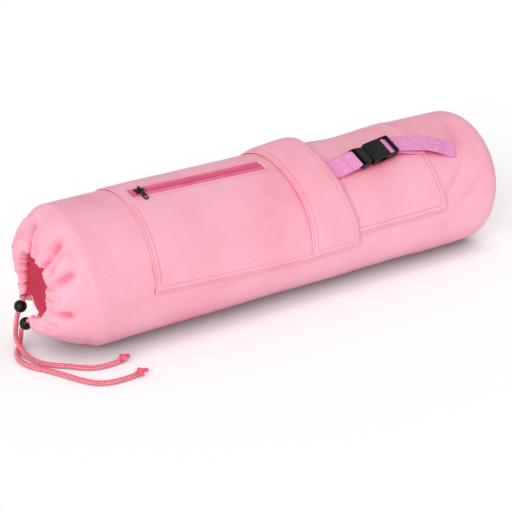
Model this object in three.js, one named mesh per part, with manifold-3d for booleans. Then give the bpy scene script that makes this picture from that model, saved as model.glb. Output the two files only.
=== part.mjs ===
// Drawstring yoga mat bag, lying on its side.
// Millimetres. +X runs along the bag from its gathered mouth to its closed end,
// -Y is the front with the pockets, +Z is up and the bag rests on z = 0.
// The origin is under the middle of the bag's own box, cord left out.
import * as THREE from 'three';
import { mergeVertices } from 'three/addons/utils/BufferGeometryUtils.js';
import Module from 'manifold-3d';

const wasm = await Module();
wasm.setup();

// Bag body
const BAG_RADIUS = 89;
const BAG_LENGTH = 662;
const SETTLE = 4.5;
const CLOTH = 1.5;
const CLEAR = 0.35;
const END_ROUNDING = 25;
const END_SEAM_ANGLE = 50;
const END_BULGE = 1.5;
const AXIS_HEIGHT = BAG_RADIUS - SETTLE;
const CLOSED_END_X = BAG_LENGTH / 2;
const LIP_X = -BAG_LENGTH / 2;

// Gathered mouth
const GATHER_LENGTH = 43;
const LIP_RADIUS = 41;
const LIP_DENT = 6;
const LIP_DENT_ANGLE = 195;
const LIP_DENT_SPREAD = 45;
const DOME_FULLNESS = 0.56;
const UNDERSIDE_ANGLE = -70;
const UNDERSIDE_SPREAD = 55;
const UNDERSIDE_TAPER = 26;
const UNDERSIDE_SLACK = 0.8;
const HEM_WIDTH = 15;
const HEM_DEPTH = 9;
const HEM_SLOPE = 84;
const HEM_DENT_SLOPE = 24;
const HEM_PUCKERS = 19;
const HEM_PUCKER_DEPTH = 1.1;
const HEM_GAP_START = 218;
const HEM_GAP_END = 266;
const HEM_GAP_MARGIN = 0.5;
const HEM_GAP_EASE = 5;
const GATHER_DEPTH = 9;
const SHOULDER_X = LIP_X + GATHER_LENGTH;

// Gathers round the mouth. Depths are shares of GATHER_DEPTH and reach is a share
// of the way from the hem to the shoulder.
const GATHERS = [
  { angle: 56, width: 9, depth: 0.9, reach: 1 },
  { angle: 37, width: 6, depth: 0.35, reach: 0.5 },
  { angle: 20, width: 8, depth: 0.85, reach: 0.85 },
  { angle: -3, width: 7, depth: 0.45, reach: 0.5 },
  { angle: -20, width: 7, depth: 0.6, reach: 0.75 },
  { angle: -42, width: 9, depth: 0.6, reach: 0.7 },
  { angle: -64, width: 8, depth: 0.5, reach: 0.6 },
  { angle: 78, width: 7, depth: 0.4, reach: 0.5 },
  { angle: 99, width: 8, depth: 0.7, reach: 0.75 },
  { angle: 124, width: 8, depth: 0.55, reach: 0.6 },
  { angle: 148, width: 9, depth: 0.65, reach: 0.8 },
  { angle: 176, width: 9, depth: 0.6, reach: 0.7 },
  { angle: 203, width: 8, depth: 0.5, reach: 0.6 },
];

// Long shallow creases on the closed end, each a line across the cloth.
// x is a share of BAG_LENGTH from the middle, depth a share of CREASE_DEPTH.
const CREASE_DEPTH = 2.2;
const CREASES = [
  { x: 0.392, angle: 60, run: 0.055, lean: 32, width: 9, depth: 1 },
  { x: 0.42, angle: 22, run: 0.05, lean: 58, width: 9, depth: 0.8 },
  { x: -0.13, angle: -28, run: 0.06, lean: 10, width: 7, depth: 0.6 },
];

// Panels sewn on the front
const PANEL = 1.2;
const POCKET_BACK_ANGLE = 120;
const ZIP_POCKET_LEFT = -212;
const ZIP_POCKET_RIGHT = 29;
const ZIP_POCKET_LOW_ANGLE = -5;
const ZIP_POCKET_SLANT = 9.5;
const OPEN_POCKET_LEFT = 33;
const OPEN_POCKET_RIGHT = 219;
const OPEN_POCKET_LOW_ANGLE = -2;
const OPEN_POCKET_SKEW = 11;
const OPEN_POCKET_PUFF = 1.8;

// Band over both pockets
const BAND_LEFT = 1;
const BAND_WIDTH = 61;
const BAND_LOW_ANGLE = -11;
const BAND_BACK_ANGLE = 165;
const BAND_PUFF = 2.4;
const BAND_SKEW = 12;
const BAND_FLARE = 11;

// Zip in the left pocket
const ZIP_LEFT = -196;
const ZIP_RIGHT = -15;
const ZIP_TOP_LEFT_ANGLE = 87.6;
const ZIP_TOP_RIGHT_ANGLE = 84.4;
const ZIP_WINDOW = 19;
const TAPE = 0.8;
const COIL_WIDTH = 6;
const COIL_HEIGHT = 1.2;

// Slider and pull tab
const SLIDER_X = -186;
const SLIDER_LENGTH = 13;
const SLIDER_WIDTH = 9;
const SLIDER_PLATE = 1.5;
const SLIDER_CROWN = 15;
const BRIDGE_WIDTH = 2.4;
const BRIDGE_BAR = 1.1;
const BRIDGE_SPAN = 4;
const BRIDGE_RISE = 2.3;
const PULL_LENGTH = 20;
const PULL_WIDTH = 6.4;
const PULL_THICK = 1.1;
const PULL_SLOPE = 12;
const PULL_RUNNING_GAP = 0.45;

// Webbing and buckle
const WEBBING_WIDTH = 25;
const WEBBING = 1.4;
const BUCKLE_X = 137;
const BUCKLE_ANGLE = 58.5;
const BUCKLE_SKEW = 8;
const BUCKLE_LENGTH = 66;
const BUCKLE_SIDE = 1.65;
const BUCKLE_WIDTH = WEBBING_WIDTH + 2 * (CLEAR + BUCKLE_SIDE);
const BUCKLE_THICK = 9;
const BUCKLE_STAND = 0.5;
const BUCKLE_WALL = 1.8;
const BAR_SIZE = 2.6;
const SOCKET_LENGTH = 26;
const STRAP_START_X = 46;
const STRAP_START_ANGLE = 54;
const STRAP_END_INSET = 67;
const STRAP_END_X = CLOSED_END_X - STRAP_END_INSET;
const STRAP_END_ANGLE = 47.5;
const TAIL_END_X = 216;
const TAIL_END_ANGLE = 56;

// Drawstring
const CORD = 5.5;
const BEAD = 15.5;
const BEAD_BORE = 6.4;
const KNOT = 11;

const RADIAL_STEPS = 64;
const RIGHT_ANGLE = Math.PI / 2;

const COLOUR = {
  cloth: 0xf6b6c8,
  webbing: 0xe58dbc,
  zip: 0xe9608f,
  plastic: 0x1d1917,
  metal: 0x3a3536,
  cord: 0xf2557c,
};

function finish(name, roughness, metalness = 0) {
  return new THREE.MeshStandardMaterial({ name, color: COLOUR[name], roughness, metalness });
}

const clothFinish = finish('cloth', 0.75);
const webbingFinish = finish('webbing', 0.8);
const zipFinish = finish('zip', 0.6);
const plasticFinish = finish('plastic', 0.4);
const metalFinish = finish('metal', 0.35, 0.9);
const cordFinish = finish('cord', 0.7);

const bag = new THREE.Group();

function addMesh(parent, name, geometry, material) {
  const mesh = new THREE.Mesh(geometry, material);
  mesh.name = name;
  parent.add(mesh);
  return mesh;
}

const radians = THREE.MathUtils.degToRad;
const lerp = THREE.MathUtils.lerp;

function smooth(value, from, to) {
  return THREE.MathUtils.smoothstep(value, from, to);
}

function bell(distance, width) {
  return Math.exp(-((distance / width) ** 2));
}

function angleApart(first, second) {
  return ((first - second + 540) % 360) - 180;
}

// A flat list of triangles becomes a geometry whose faces point out.
function geometryFromTriangles(triangles) {
  let volume = 0;
  for (const [a, b, c] of triangles) {
    volume += a.dot(new THREE.Vector3().crossVectors(b, c)) / 6;
  }
  const positions = [];
  for (const [a, b, c] of triangles) {
    const corners = volume > 0 ? [a, b, c] : [a, c, b];
    for (const corner of corners) {
      positions.push(corner.x, corner.y, corner.z);
    }
  }
  const geometry = new THREE.BufferGeometry();
  geometry.setAttribute('position', new THREE.Float32BufferAttribute(positions, 3));
  return mergeVertices(geometry, 1e-4);
}

function joinRings(triangles, first, second) {
  const count = first.length;
  for (let i = 0; i < count; i += 1) {
    const next = (i + 1) % count;
    triangles.push([first[i], second[i], second[next]]);
    triangles.push([first[i], second[next], first[next]]);
  }
}

function capRing(triangles, ring, reversed) {
  const centre = new THREE.Vector3();
  for (const point of ring) {
    centre.addScaledVector(point, 1 / ring.length);
  }
  for (let i = 0; i < ring.length; i += 1) {
    const next = (i + 1) % ring.length;
    const pair = reversed ? [ring[next], ring[i]] : [ring[i], ring[next]];
    triangles.push([centre, ...pair]);
  }
}

// Rings of points joined in order, and the last back to the first: a shell.
function shellFromRings(rings) {
  const triangles = [];
  rings.forEach((ring, i) => joinRings(triangles, ring, rings[(i + 1) % rings.length]));
  return geometryFromTriangles(triangles);
}

// Rings of points joined in order, closed by a fan at each end: a bar.
function barFromRings(rings) {
  const triangles = [];
  for (let i = 0; i + 1 < rings.length; i += 1) {
    joinRings(triangles, rings[i], rings[i + 1]);
  }
  capRing(triangles, rings[0], false);
  capRing(triangles, rings[rings.length - 1], true);
  return geometryFromTriangles(triangles);
}

// A sheet with thickness over a grid, with a hole where isCell is false.
function sheetSolid(columns, rows, lower, upper, isCell = () => true) {
  const triangles = [];
  const addQuad = (a, b, c, d) => {
    triangles.push([a, b, c], [a, c, d]);
  };
  const exists = (i, j) => i >= 0 && j >= 0 && i < columns && j < rows && isCell(i, j);
  const low = [];
  const high = [];
  for (let i = 0; i <= columns; i += 1) {
    low.push([]);
    high.push([]);
    for (let j = 0; j <= rows; j += 1) {
      low[i].push(lower(i, j));
      high[i].push(upper(i, j));
    }
  }
  for (let i = 0; i < columns; i += 1) {
    for (let j = 0; j < rows; j += 1) {
      if (!exists(i, j)) {
        continue;
      }
      const k = i + 1;
      const m = j + 1;
      addQuad(high[i][j], high[k][j], high[k][m], high[i][m]);
      addQuad(low[i][j], low[i][m], low[k][m], low[k][j]);
      if (!exists(i, j - 1)) {
        addQuad(low[i][j], low[k][j], high[k][j], high[i][j]);
      }
      if (!exists(i, m)) {
        addQuad(low[k][m], low[i][m], high[i][m], high[k][m]);
      }
      if (!exists(i - 1, j)) {
        addQuad(low[i][m], low[i][j], high[i][j], high[i][m]);
      }
      if (!exists(k, j)) {
        addQuad(low[k][j], low[k][m], high[k][m], high[k][j]);
      }
    }
  }
  return geometryFromTriangles(triangles);
}

function toSolid(geometry) {
  const bare = geometry.clone();
  bare.deleteAttribute('normal');
  bare.deleteAttribute('uv');
  const merged = mergeVertices(bare, 1e-4);
  const triVerts = new Uint32Array(merged.index.array);
  const vertProperties = new Float32Array(merged.attributes.position.array);
  return new wasm.Manifold(new wasm.Mesh({ numProp: 3, vertProperties, triVerts }));
}

function toGeometry(solid) {
  const mesh = solid.getMesh();
  const geometry = new THREE.BufferGeometry();
  geometry.setAttribute('position', new THREE.BufferAttribute(mesh.vertProperties, 3));
  geometry.setIndex(new THREE.BufferAttribute(mesh.triVerts, 1));
  return geometry;
}

function boxBetween(low, high) {
  const size = high.map((value, i) => value - low[i]);
  const geometry = new THREE.BoxGeometry(...size);
  return geometry.translate(...low.map((value, i) => value + size[i] / 2));
}

// A plan outline raised between two heights.
function plate(outline, holes, low, high) {
  const shape = new THREE.Shape(outline.map(([x, y]) => new THREE.Vector2(x, y)));
  for (const hole of holes) {
    shape.holes.push(new THREE.Path(hole.map(([x, y]) => new THREE.Vector2(x, y))));
  }
  const options = { depth: high - low, bevelEnabled: false, curveSegments: 6 };
  return new THREE.ExtrudeGeometry(shape, options).translate(0, 0, low);
}

// Places on the bag's skin: x along it, angle in degrees up from the front, lift off it.
function skinAxes(angle) {
  const turn = radians(angle);
  return {
    out: new THREE.Vector3(0, -Math.cos(turn), Math.sin(turn)),
    up: new THREE.Vector3(0, Math.sin(turn), Math.cos(turn)),
  };
}

function skinPoint(x, angle, lift) {
  const { out } = skinAxes(angle);
  return new THREE.Vector3(x, 0, AXIS_HEIGHT).addScaledVector(out, BAG_RADIUS + lift);
}

// The hem runs from the lip back to the seam where the gathers start.
function lipDent(angle) {
  return bell(angleApart(angle, LIP_DENT_ANGLE), LIP_DENT_SPREAD);
}

function lipAt(angle) {
  return { x: LIP_X + LIP_DENT * lipDent(angle), r: LIP_RADIUS };
}

function hemSlope(angle) {
  return radians(HEM_SLOPE - HEM_DENT_SLOPE * lipDent(angle));
}

function hemSeamAt(angle) {
  const lip = lipAt(angle);
  const slope = hemSlope(angle);
  const reach = HEM_WIDTH + CLEAR;
  return { x: lip.x + reach * Math.cos(slope), r: lip.r + reach * Math.sin(slope) };
}

// In the gap between the hem's two ends the cloth runs on to a plain edge.
function openEdgeShare(angle) {
  const turn = (angle + 360) % 360;
  const start = HEM_GAP_START + HEM_GAP_MARGIN;
  const end = HEM_GAP_END - HEM_GAP_MARGIN;
  return smooth(turn, start, start + HEM_GAP_EASE) * (1 - smooth(turn, end - HEM_GAP_EASE, end));
}

function gatherDepth(angle, share) {
  let depth = 0;
  for (const gather of GATHERS) {
    const across = bell(angleApart(angle, gather.angle), gather.width);
    const along = 1 - smooth(share, gather.reach * 0.35, gather.reach);
    depth += gather.depth * across * along;
  }
  return depth * GATHER_DEPTH;
}

function creaseDepth(x, angle) {
  let depth = 0;
  for (const crease of CREASES) {
    const along = x - crease.x * BAG_LENGTH;
    const around = radians(angleApart(angle, crease.angle)) * BAG_RADIUS;
    const lean = radians(crease.lean);
    const run = along * Math.cos(lean) + around * Math.sin(lean);
    const off = around * Math.cos(lean) - along * Math.sin(lean);
    depth += crease.depth * bell(off, crease.width) * bell(run, crease.run * BAG_LENGTH);
  }
  return depth * CREASE_DEPTH;
}

// The underside hangs slack: its gathers reach further and the dome is less full.
function underside(angle) {
  return bell(angleApart(angle, UNDERSIDE_ANGLE), UNDERSIDE_SPREAD);
}

function shoulderAt(angle) {
  return SHOULDER_X + UNDERSIDE_TAPER * underside(angle);
}

// Share 0 is the hem seam and 1 the shoulder. The dome between them lies between a
// cone and a quarter ellipse, as its fullness says.
function domePoint(angle, share, inset) {
  const seam = hemSeamAt(angle);
  const open = openEdgeShare(angle);
  const edge = {
    x: lerp(seam.x, lipAt(angle).x + HEM_WIDTH, open),
    r: lerp(seam.r, LIP_RADIUS, open),
  };
  const sweep = share * RIGHT_ANGLE;
  const full = DOME_FULLNESS * (1 - open) * (1 - UNDERSIDE_SLACK * underside(angle));
  const shoulder = shoulderAt(angle);
  const run = Math.cos(sweep);
  const rise = lerp(1 - run, Math.sin(sweep), full);
  const depth = gatherDepth(angle, share) * (1 - open) * smooth(share, -0.1, 0.16);
  return {
    x: shoulder + (edge.x - shoulder) * run + (inset + depth * 0.7) * run,
    r: edge.r + (BAG_RADIUS - edge.r) * rise - (inset + depth * 0.75) * rise,
  };
}

function endPoint(sweepAngle, inset) {
  const sweep = radians(sweepAngle);
  const bend = END_ROUNDING - inset;
  return {
    x: CLOSED_END_X - END_ROUNDING + bend * Math.sin(sweep),
    r: BAG_RADIUS - END_ROUNDING + bend * Math.cos(sweep),
  };
}

function turnedPoint({ x, r }, angle, floor) {
  const { out } = skinAxes(angle);
  const point = new THREE.Vector3(x, 0, AXIS_HEIGHT).addScaledVector(out, r);
  point.z = Math.max(point.z, floor);
  return point;
}

function ringAt(profile, floor) {
  const ring = [];
  for (let i = 0; i < RADIAL_STEPS; i += 1) {
    const angle = (i * 360) / RADIAL_STEPS;
    ring.push(turnedPoint(profile(angle), angle, floor));
  }
  return ring;
}

// The gathered cloth from the hem seam to the shoulder.
function makeMouthGather() {
  const shares = [0, 0.12, 0.26, 0.42, 0.6, 0.8, 1];
  const rings = (inset) => {
    return shares.map((share) => ringAt((angle) => domePoint(angle, share, inset), inset));
  };
  addMesh(bag, 'mouth_gather', shellFromRings([...rings(0), ...rings(CLOTH).reverse()]), clothFinish);
}

// The cloth from the shoulder to the seam of the closed end.
function makeBagTube() {
  const straightEnd = CLOSED_END_X - END_ROUNDING;
  const shares = [0.24, 0.32, 0.4, 0.84, 0.92];
  const sweeps = [0, END_SEAM_ANGLE / 2, END_SEAM_ANGLE];
  const wall = (inset, placeX) => {
    return ringAt((angle) => {
      const x = placeX(angle);
      return { x, r: BAG_RADIUS - inset - creaseDepth(x, angle) };
    }, inset);
  };
  const rings = (inset) => [
    wall(inset, (angle) => shoulderAt(angle) + CLEAR),
    ...shares.map((share) => wall(inset, () => lerp(SHOULDER_X, straightEnd, share))),
    ...sweeps.map((sweep) => ringAt(() => endPoint(sweep, inset), inset)),
  ];
  addMesh(bag, 'bag_tube', shellFromRings([...rings(0), ...rings(CLOTH).reverse()]), clothFinish);
}

function makeEndPanel() {
  const seamGap = (CLEAR / END_ROUNDING) * THREE.MathUtils.RAD2DEG;
  const start = END_SEAM_ANGLE + seamGap;
  const profiles = (inset) => [
    endPoint(start, inset),
    endPoint((start + 90) / 2, inset),
    endPoint(90, inset),
    { x: CLOSED_END_X - inset + END_BULGE, r: (BAG_RADIUS - END_ROUNDING) * 0.3 },
  ];
  const outer = profiles(0).map((profile) => ringAt(() => profile, 0));
  const inner = profiles(CLOTH).map((profile) => ringAt(() => profile, CLOTH));
  const rings = [...outer.reverse(), ...inner];
  addMesh(bag, 'end_panel', barFromRings(rings), clothFinish);
}

// The hem is a channel folded round the cord: an outer skin and a bore.
function hemRing(angle, halfWidth, halfDepth, pucker, sides) {
  const lip = lipAt(angle);
  const slope = hemSlope(angle);
  const wide = new THREE.Vector2(Math.cos(slope), Math.sin(slope));
  const deep = new THREE.Vector2(Math.sin(slope), -Math.cos(slope));
  const ripple = pucker * Math.cos(radians(angle) * HEM_PUCKERS);
  const centre = new THREE.Vector2(lip.x, lip.r)
    .addScaledVector(wide, HEM_WIDTH / 2)
    .addScaledVector(deep, HEM_DEPTH / 2);
  const ring = [];
  for (let i = 0; i < sides; i += 1) {
    const turn = (i * 2 * Math.PI) / sides;
    const across = (halfWidth - Math.max(0, -ripple)) * Math.cos(turn);
    const through = (halfDepth - Math.max(0, ripple)) * Math.sin(turn);
    const place = centre.clone().addScaledVector(wide, across).addScaledVector(deep, through);
    ring.push(turnedPoint({ x: place.x, r: place.y }, angle, 0));
  }
  return ring;
}

function hemAngles(steps) {
  const start = HEM_GAP_END - 360;
  const angles = [];
  for (let i = 0; i <= steps; i += 1) {
    angles.push(lerp(start, HEM_GAP_START, i / steps));
  }
  return angles;
}

function makeHem() {
  const angles = hemAngles(44);
  const sides = 8;
  const outer = angles.map((angle) => {
    return hemRing(angle, HEM_WIDTH / 2, HEM_DEPTH / 2, HEM_PUCKER_DEPTH, sides);
  });
  const boreDepth = CORD / 2 + CLEAR;
  const boreWidth = HEM_WIDTH / 2 - HEM_PUCKER_DEPTH - CLOTH;
  const bore = angles.map((angle) => hemRing(angle, boreWidth, boreDepth, 0, sides));
  addMesh(bag, 'mouth_hem', shellFromRings([...outer, ...bore.reverse()]), clothFinish);
}

function panelLift(x, angle, left, right, low, high, puff) {
  const across = Math.sin(Math.PI * THREE.MathUtils.clamp((x - left) / (right - left), 0, 1));
  const around = Math.sin(Math.PI * THREE.MathUtils.clamp((angle - low) / (high - low), 0, 1));
  return puff * across * Math.sqrt(Math.max(0, around));
}

// The band's edges drift towards the closed end as they come down the front.
function bandEdge(angle, side) {
  const drop = 1 - smooth(angle, BAND_LOW_ANGLE, POCKET_BACK_ANGLE / 1.5);
  const flare = (1 - smooth(angle, BAND_LOW_ANGLE, POCKET_BACK_ANGLE / 2)) * BAND_FLARE;
  return BAND_LEFT + side * BAND_WIDTH + drop * BAND_SKEW + side * flare;
}

function zipTopAngle(x) {
  const share = (x - ZIP_LEFT) / (ZIP_RIGHT - ZIP_LEFT);
  return lerp(ZIP_TOP_LEFT_ANGLE, ZIP_TOP_RIGHT_ANGLE, share);
}

const ZIP_SPREAD = ZIP_WINDOW / (BAG_RADIUS + CLEAR) * THREE.MathUtils.RAD2DEG;

function zipLowAngle(x) {
  return zipTopAngle(x) - ZIP_SPREAD;
}

function zipPocketLowAngle(x) {
  const share = (x - ZIP_POCKET_LEFT) / (ZIP_POCKET_RIGHT - ZIP_POCKET_LEFT);
  return ZIP_POCKET_LOW_ANGLE - ZIP_POCKET_SLANT * share;
}

function makeZipPocket() {
  const between = (from, to, count) => {
    return Array.from({ length: count }, (_, i) => lerp(from, to, (i + 1) / (count + 1)));
  };
  const xs = [ZIP_POCKET_LEFT, ZIP_LEFT, ...between(ZIP_LEFT, ZIP_RIGHT, 3), ZIP_RIGHT, ZIP_POCKET_RIGHT];
  const lowRows = 14;
  const windowRows = 2;
  const backRows = 6;
  const rows = lowRows + windowRows + backRows;
  const angleAt = (x, j) => {
    if (j <= lowRows) {
      return lerp(zipPocketLowAngle(x), zipLowAngle(x), j / lowRows);
    }
    if (j <= lowRows + windowRows) {
      return lerp(zipLowAngle(x), zipTopAngle(x), (j - lowRows) / windowRows);
    }
    return lerp(zipTopAngle(x), POCKET_BACK_ANGLE, (j - lowRows - windowRows) / backRows);
  };
  const pointAt = (lift) => (i, j) => skinPoint(xs[i], angleAt(xs[i], j), lift);
  const isCell = (i, j) => {
    const inWindow = j >= lowRows && j < lowRows + windowRows;
    return !(inWindow && i > 0 && i < xs.length - 2);
  };
  const columns = xs.length - 1;
  const geometry = sheetSolid(columns, rows, pointAt(CLEAR), pointAt(CLEAR + PANEL), isCell);
  addMesh(bag, 'zip_pocket_panel', geometry, clothFinish);
}

function openPocketRight(angle) {
  const drop = 1 - smooth(angle, OPEN_POCKET_LOW_ANGLE, POCKET_BACK_ANGLE / 2.5);
  return OPEN_POCKET_RIGHT + drop * OPEN_POCKET_SKEW;
}

function openPocketLift(x, angle) {
  const right = openPocketRight(angle);
  return panelLift(x, angle, BAND_LEFT + BAND_WIDTH, right, OPEN_POCKET_LOW_ANGLE, 50, OPEN_POCKET_PUFF);
}

function makeOpenPocket() {
  const columns = 7;
  const rows = 19;
  const place = (extra) => (i, j) => {
    const angle = lerp(OPEN_POCKET_LOW_ANGLE, POCKET_BACK_ANGLE, j / rows);
    const x = lerp(OPEN_POCKET_LEFT, openPocketRight(angle), i / columns);
    return skinPoint(x, angle, CLEAR + extra + openPocketLift(x, angle));
  };
  const geometry = sheetSolid(columns, rows, place(0), place(PANEL));
  addMesh(bag, 'open_pocket_panel', geometry, clothFinish);
}

// The band clears the pockets under it and rises over the strap that it covers.
function bandLift(x, angle) {
  const left = bandEdge(angle, 0);
  const right = bandEdge(angle, 1);
  const across = Math.sin(Math.PI * THREE.MathUtils.clamp((x - left) / (right - left), 0, 1));
  const halfStrap = WEBBING_WIDTH / 2 / BAG_RADIUS * THREE.MathUtils.RAD2DEG;
  const apart = Math.abs(angle - STRAP_START_ANGLE);
  const overStrap = (1 - smooth(apart, halfStrap + 4, halfStrap + 16)) * smooth(x, left + 4, STRAP_START_X - 6);
  const ends = smooth(angle, BAND_LOW_ANGLE - 1, BAND_LOW_ANGLE + 25);
  const covered = CLEAR + PANEL + CLEAR + openPocketLift(x, angle);
  return covered + BAND_PUFF * across * ends + overStrap * (WEBBING + CLEAR);
}

function makeBand() {
  const columns = 5;
  const rows = 28;
  const place = (extra) => (i, j) => {
    const angle = lerp(BAND_LOW_ANGLE, BAND_BACK_ANGLE, j / rows);
    const x = lerp(bandEdge(angle, 0), bandEdge(angle, 1), i / columns);
    return skinPoint(x, angle, extra + bandLift(x, angle));
  };
  addMesh(bag, 'flap_band', sheetSolid(columns, rows, place(0), place(CLOTH)), clothFinish);
}

function makeZip() {
  const tapeShare = (x, share) => {
    const margin = (CLEAR / BAG_RADIUS) * THREE.MathUtils.RAD2DEG;
    return lerp(zipLowAngle(x) + margin, zipTopAngle(x) - margin, share);
  };
  const left = ZIP_LEFT + CLEAR;
  const right = ZIP_RIGHT - CLEAR;
  const columns = 4;
  const rows = 4;
  const tapePoint = (lift) => (i, j) => {
    const x = lerp(left, right, i / columns);
    return skinPoint(x, tapeShare(x, j / rows), lift);
  };
  addMesh(bag, 'zip_tape', sheetSolid(columns, rows, tapePoint(CLEAR), tapePoint(CLEAR + TAPE)), zipFinish);
  const half = ((COIL_WIDTH / 2) / BAG_RADIUS) * THREE.MathUtils.RAD2DEG;
  const coilLow = CLEAR + TAPE + CLEAR;
  const coilRings = [];
  for (let i = 0; i <= columns; i += 1) {
    const x = lerp(left + 2, right - 2, i / columns);
    const middle = tapeShare(x, 0.5);
    coilRings.push([
      skinPoint(x, middle - half, coilLow),
      skinPoint(x, middle + half, coilLow),
      skinPoint(x, middle + half * 0.6, coilLow + COIL_HEIGHT),
      skinPoint(x, middle - half * 0.6, coilLow + COIL_HEIGHT),
    ]);
  }
  addMesh(bag, 'zip_coil', barFromRings(coilRings), zipFinish);
}

// The slider's own frame: x along the zip, y up the slope, z off the cloth.
const COIL_TOP = CLEAR + TAPE + CLEAR + COIL_HEIGHT;
const SLIDER_ANGLE = (zipTopAngle(SLIDER_X) + zipLowAngle(SLIDER_X)) / 2;
const BRIDGE_OPENING = BRIDGE_RISE - BRIDGE_BAR / 2;
const SLIDER_LOW = CLEAR + TAPE + CLEAR;
const PLATE_LOW = COIL_TOP + CLEAR;
const PLATE_TOP = PLATE_LOW + SLIDER_PLATE;
const HINGE_LIFT = PLATE_TOP + BRIDGE_OPENING / 2;

function slopeFrame(x, angle, lift, skew = 0) {
  const frame = new THREE.Group();
  const { out, up } = skinAxes(angle);
  const along = new THREE.Vector3(1, 0, 0);
  const turned = along.clone().multiplyScalar(Math.cos(radians(skew))).addScaledVector(up, Math.sin(radians(skew)));
  const side = new THREE.Vector3().crossVectors(out, turned);
  frame.quaternion.setFromRotationMatrix(new THREE.Matrix4().makeBasis(turned, side, out));
  frame.position.copy(skinPoint(x, angle, lift));
  return frame;
}

function makeSlider() {
  const frame = slopeFrame(SLIDER_X, SLIDER_ANGLE, 0);
  bag.add(frame);
  const halfLength = SLIDER_LENGTH / 2;
  const halfWidth = SLIDER_WIDTH / 2;
  const nose = 2;
  const outline = [
    [-halfLength, -halfWidth + nose],
    [-halfLength + nose, -halfWidth],
    [halfLength - nose, -halfWidth * 0.8],
    [halfLength, -halfWidth * 0.8 + nose],
    [halfLength, halfWidth * 0.8 - nose],
    [halfLength - nose, halfWidth * 0.8],
    [-halfLength + nose, halfWidth],
    [-halfLength, halfWidth - nose],
  ];
  const channel = COIL_WIDTH / 2 + CLEAR;
  const crownHalf = BRIDGE_SPAN * 0.3;
  const sideTop = PLATE_TOP - (halfWidth - crownHalf) * Math.tan(radians(SLIDER_CROWN));
  const section = [
    [-halfWidth, SLIDER_LOW],
    [-channel, SLIDER_LOW],
    [-channel, PLATE_LOW],
    [channel, PLATE_LOW],
    [channel, SLIDER_LOW],
    [halfWidth, SLIDER_LOW],
    [halfWidth, sideTop],
    [crownHalf, PLATE_TOP],
    [-crownHalf, PLATE_TOP],
    [-halfWidth, sideTop],
  ];
  const bar = plate(section, [], -SLIDER_LENGTH, SLIDER_LENGTH);
  bar.rotateX(RIGHT_ANGLE).rotateZ(RIGHT_ANGLE);
  let solid = toSolid(plate(outline, [], 0, PLATE_TOP * 2)).intersect(toSolid(bar));
  const footOut = BRIDGE_SPAN / 2 + BRIDGE_BAR;
  const bridge = boxBetween(
    [-BRIDGE_WIDTH / 2, -footOut, PLATE_TOP - SLIDER_PLATE * 0.8],
    [BRIDGE_WIDTH / 2, footOut, PLATE_TOP + BRIDGE_OPENING + BRIDGE_BAR],
  );
  const tunnel = boxBetween(
    [-BRIDGE_WIDTH, -BRIDGE_SPAN / 2, PLATE_TOP],
    [BRIDGE_WIDTH, BRIDGE_SPAN / 2, PLATE_TOP + BRIDGE_OPENING],
  );
  solid = solid.add(toSolid(bridge)).subtract(toSolid(tunnel));
  addMesh(frame, 'zip_slider', toGeometry(solid), metalFinish);
}

// The pull tab hangs down the slope from a bar that passes through the bridge.
function makePullTab() {
  const frame = slopeFrame(SLIDER_X, SLIDER_ANGLE, HINGE_LIFT);
  bag.add(frame);
  const tab = new THREE.Group();
  tab.rotation.x = radians(PULL_SLOPE);
  frame.add(tab);
  const halfBar = PULL_THICK / 2;
  const eyeHalf = BRIDGE_WIDTH / 2 + PULL_RUNNING_GAP;
  const eyeEnd = BRIDGE_SPAN / 2 + BRIDGE_BAR + BRIDGE_RISE / 2 + PULL_RUNNING_GAP;
  const neckHalf = eyeHalf + PULL_THICK;
  const neckEnd = eyeEnd * 0.85;
  const halfWidth = PULL_WIDTH / 2;
  const outline = [
    [-neckHalf, halfBar],
    [neckHalf, halfBar],
    [neckHalf, -neckEnd],
    [halfWidth * 0.75, -eyeEnd - PULL_THICK * 2],
    [halfWidth, -PULL_LENGTH + halfWidth],
    [halfWidth * 0.6, -PULL_LENGTH + halfWidth * 0.25],
    [0, -PULL_LENGTH],
    [-halfWidth * 0.6, -PULL_LENGTH + halfWidth * 0.25],
    [-halfWidth, -PULL_LENGTH + halfWidth],
    [-halfWidth * 0.75, -eyeEnd - PULL_THICK * 2],
    [-neckHalf, -neckEnd],
  ];
  const eye = [
    [-eyeHalf, -halfBar],
    [-eyeHalf, -eyeEnd],
    [eyeHalf, -eyeEnd],
    [eyeHalf, -halfBar],
  ];
  const tipHalf = halfWidth - PULL_THICK;
  const tip = [
    [-tipHalf, -PULL_LENGTH + halfWidth * 2.2],
    [-tipHalf, -PULL_LENGTH + halfWidth],
    [-tipHalf * 0.5, -PULL_LENGTH + PULL_THICK * 1.6],
    [tipHalf * 0.5, -PULL_LENGTH + PULL_THICK * 1.6],
    [tipHalf, -PULL_LENGTH + halfWidth],
    [tipHalf, -PULL_LENGTH + halfWidth * 2.2],
  ];
  addMesh(tab, 'zip_pull_tab', plate(outline, [eye, tip], -halfBar, halfBar), metalFinish);
}

// Buckle frame: x along it towards the closed end, y up the slope, z off the cloth.
const BUCKLE_LIFT = CLEAR + PANEL + OPEN_POCKET_PUFF + BUCKLE_STAND + BUCKLE_THICK / 2;
const buckleFrame = slopeFrame(BUCKLE_X, BUCKLE_ANGLE, BUCKLE_LIFT, BUCKLE_SKEW);

const HALF_LENGTH = BUCKLE_LENGTH / 2;
const HALF_WIDTH = BUCKLE_WIDTH / 2;
const HALF_THICK = BUCKLE_THICK / 2;
const SLOT_HALF = WEBBING_WIDTH / 2 + CLEAR;
const SOCKET_START = -HALF_LENGTH * 0.36;
const SOCKET_END = SOCKET_START + SOCKET_LENGTH;
const CENTRE_BAR_X = HALF_LENGTH - 9.6;
const END_BAR_X = HALF_LENGTH - 1.6;
const MALE_BAR_X = -HALF_LENGTH + BAR_SIZE / 2;

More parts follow.
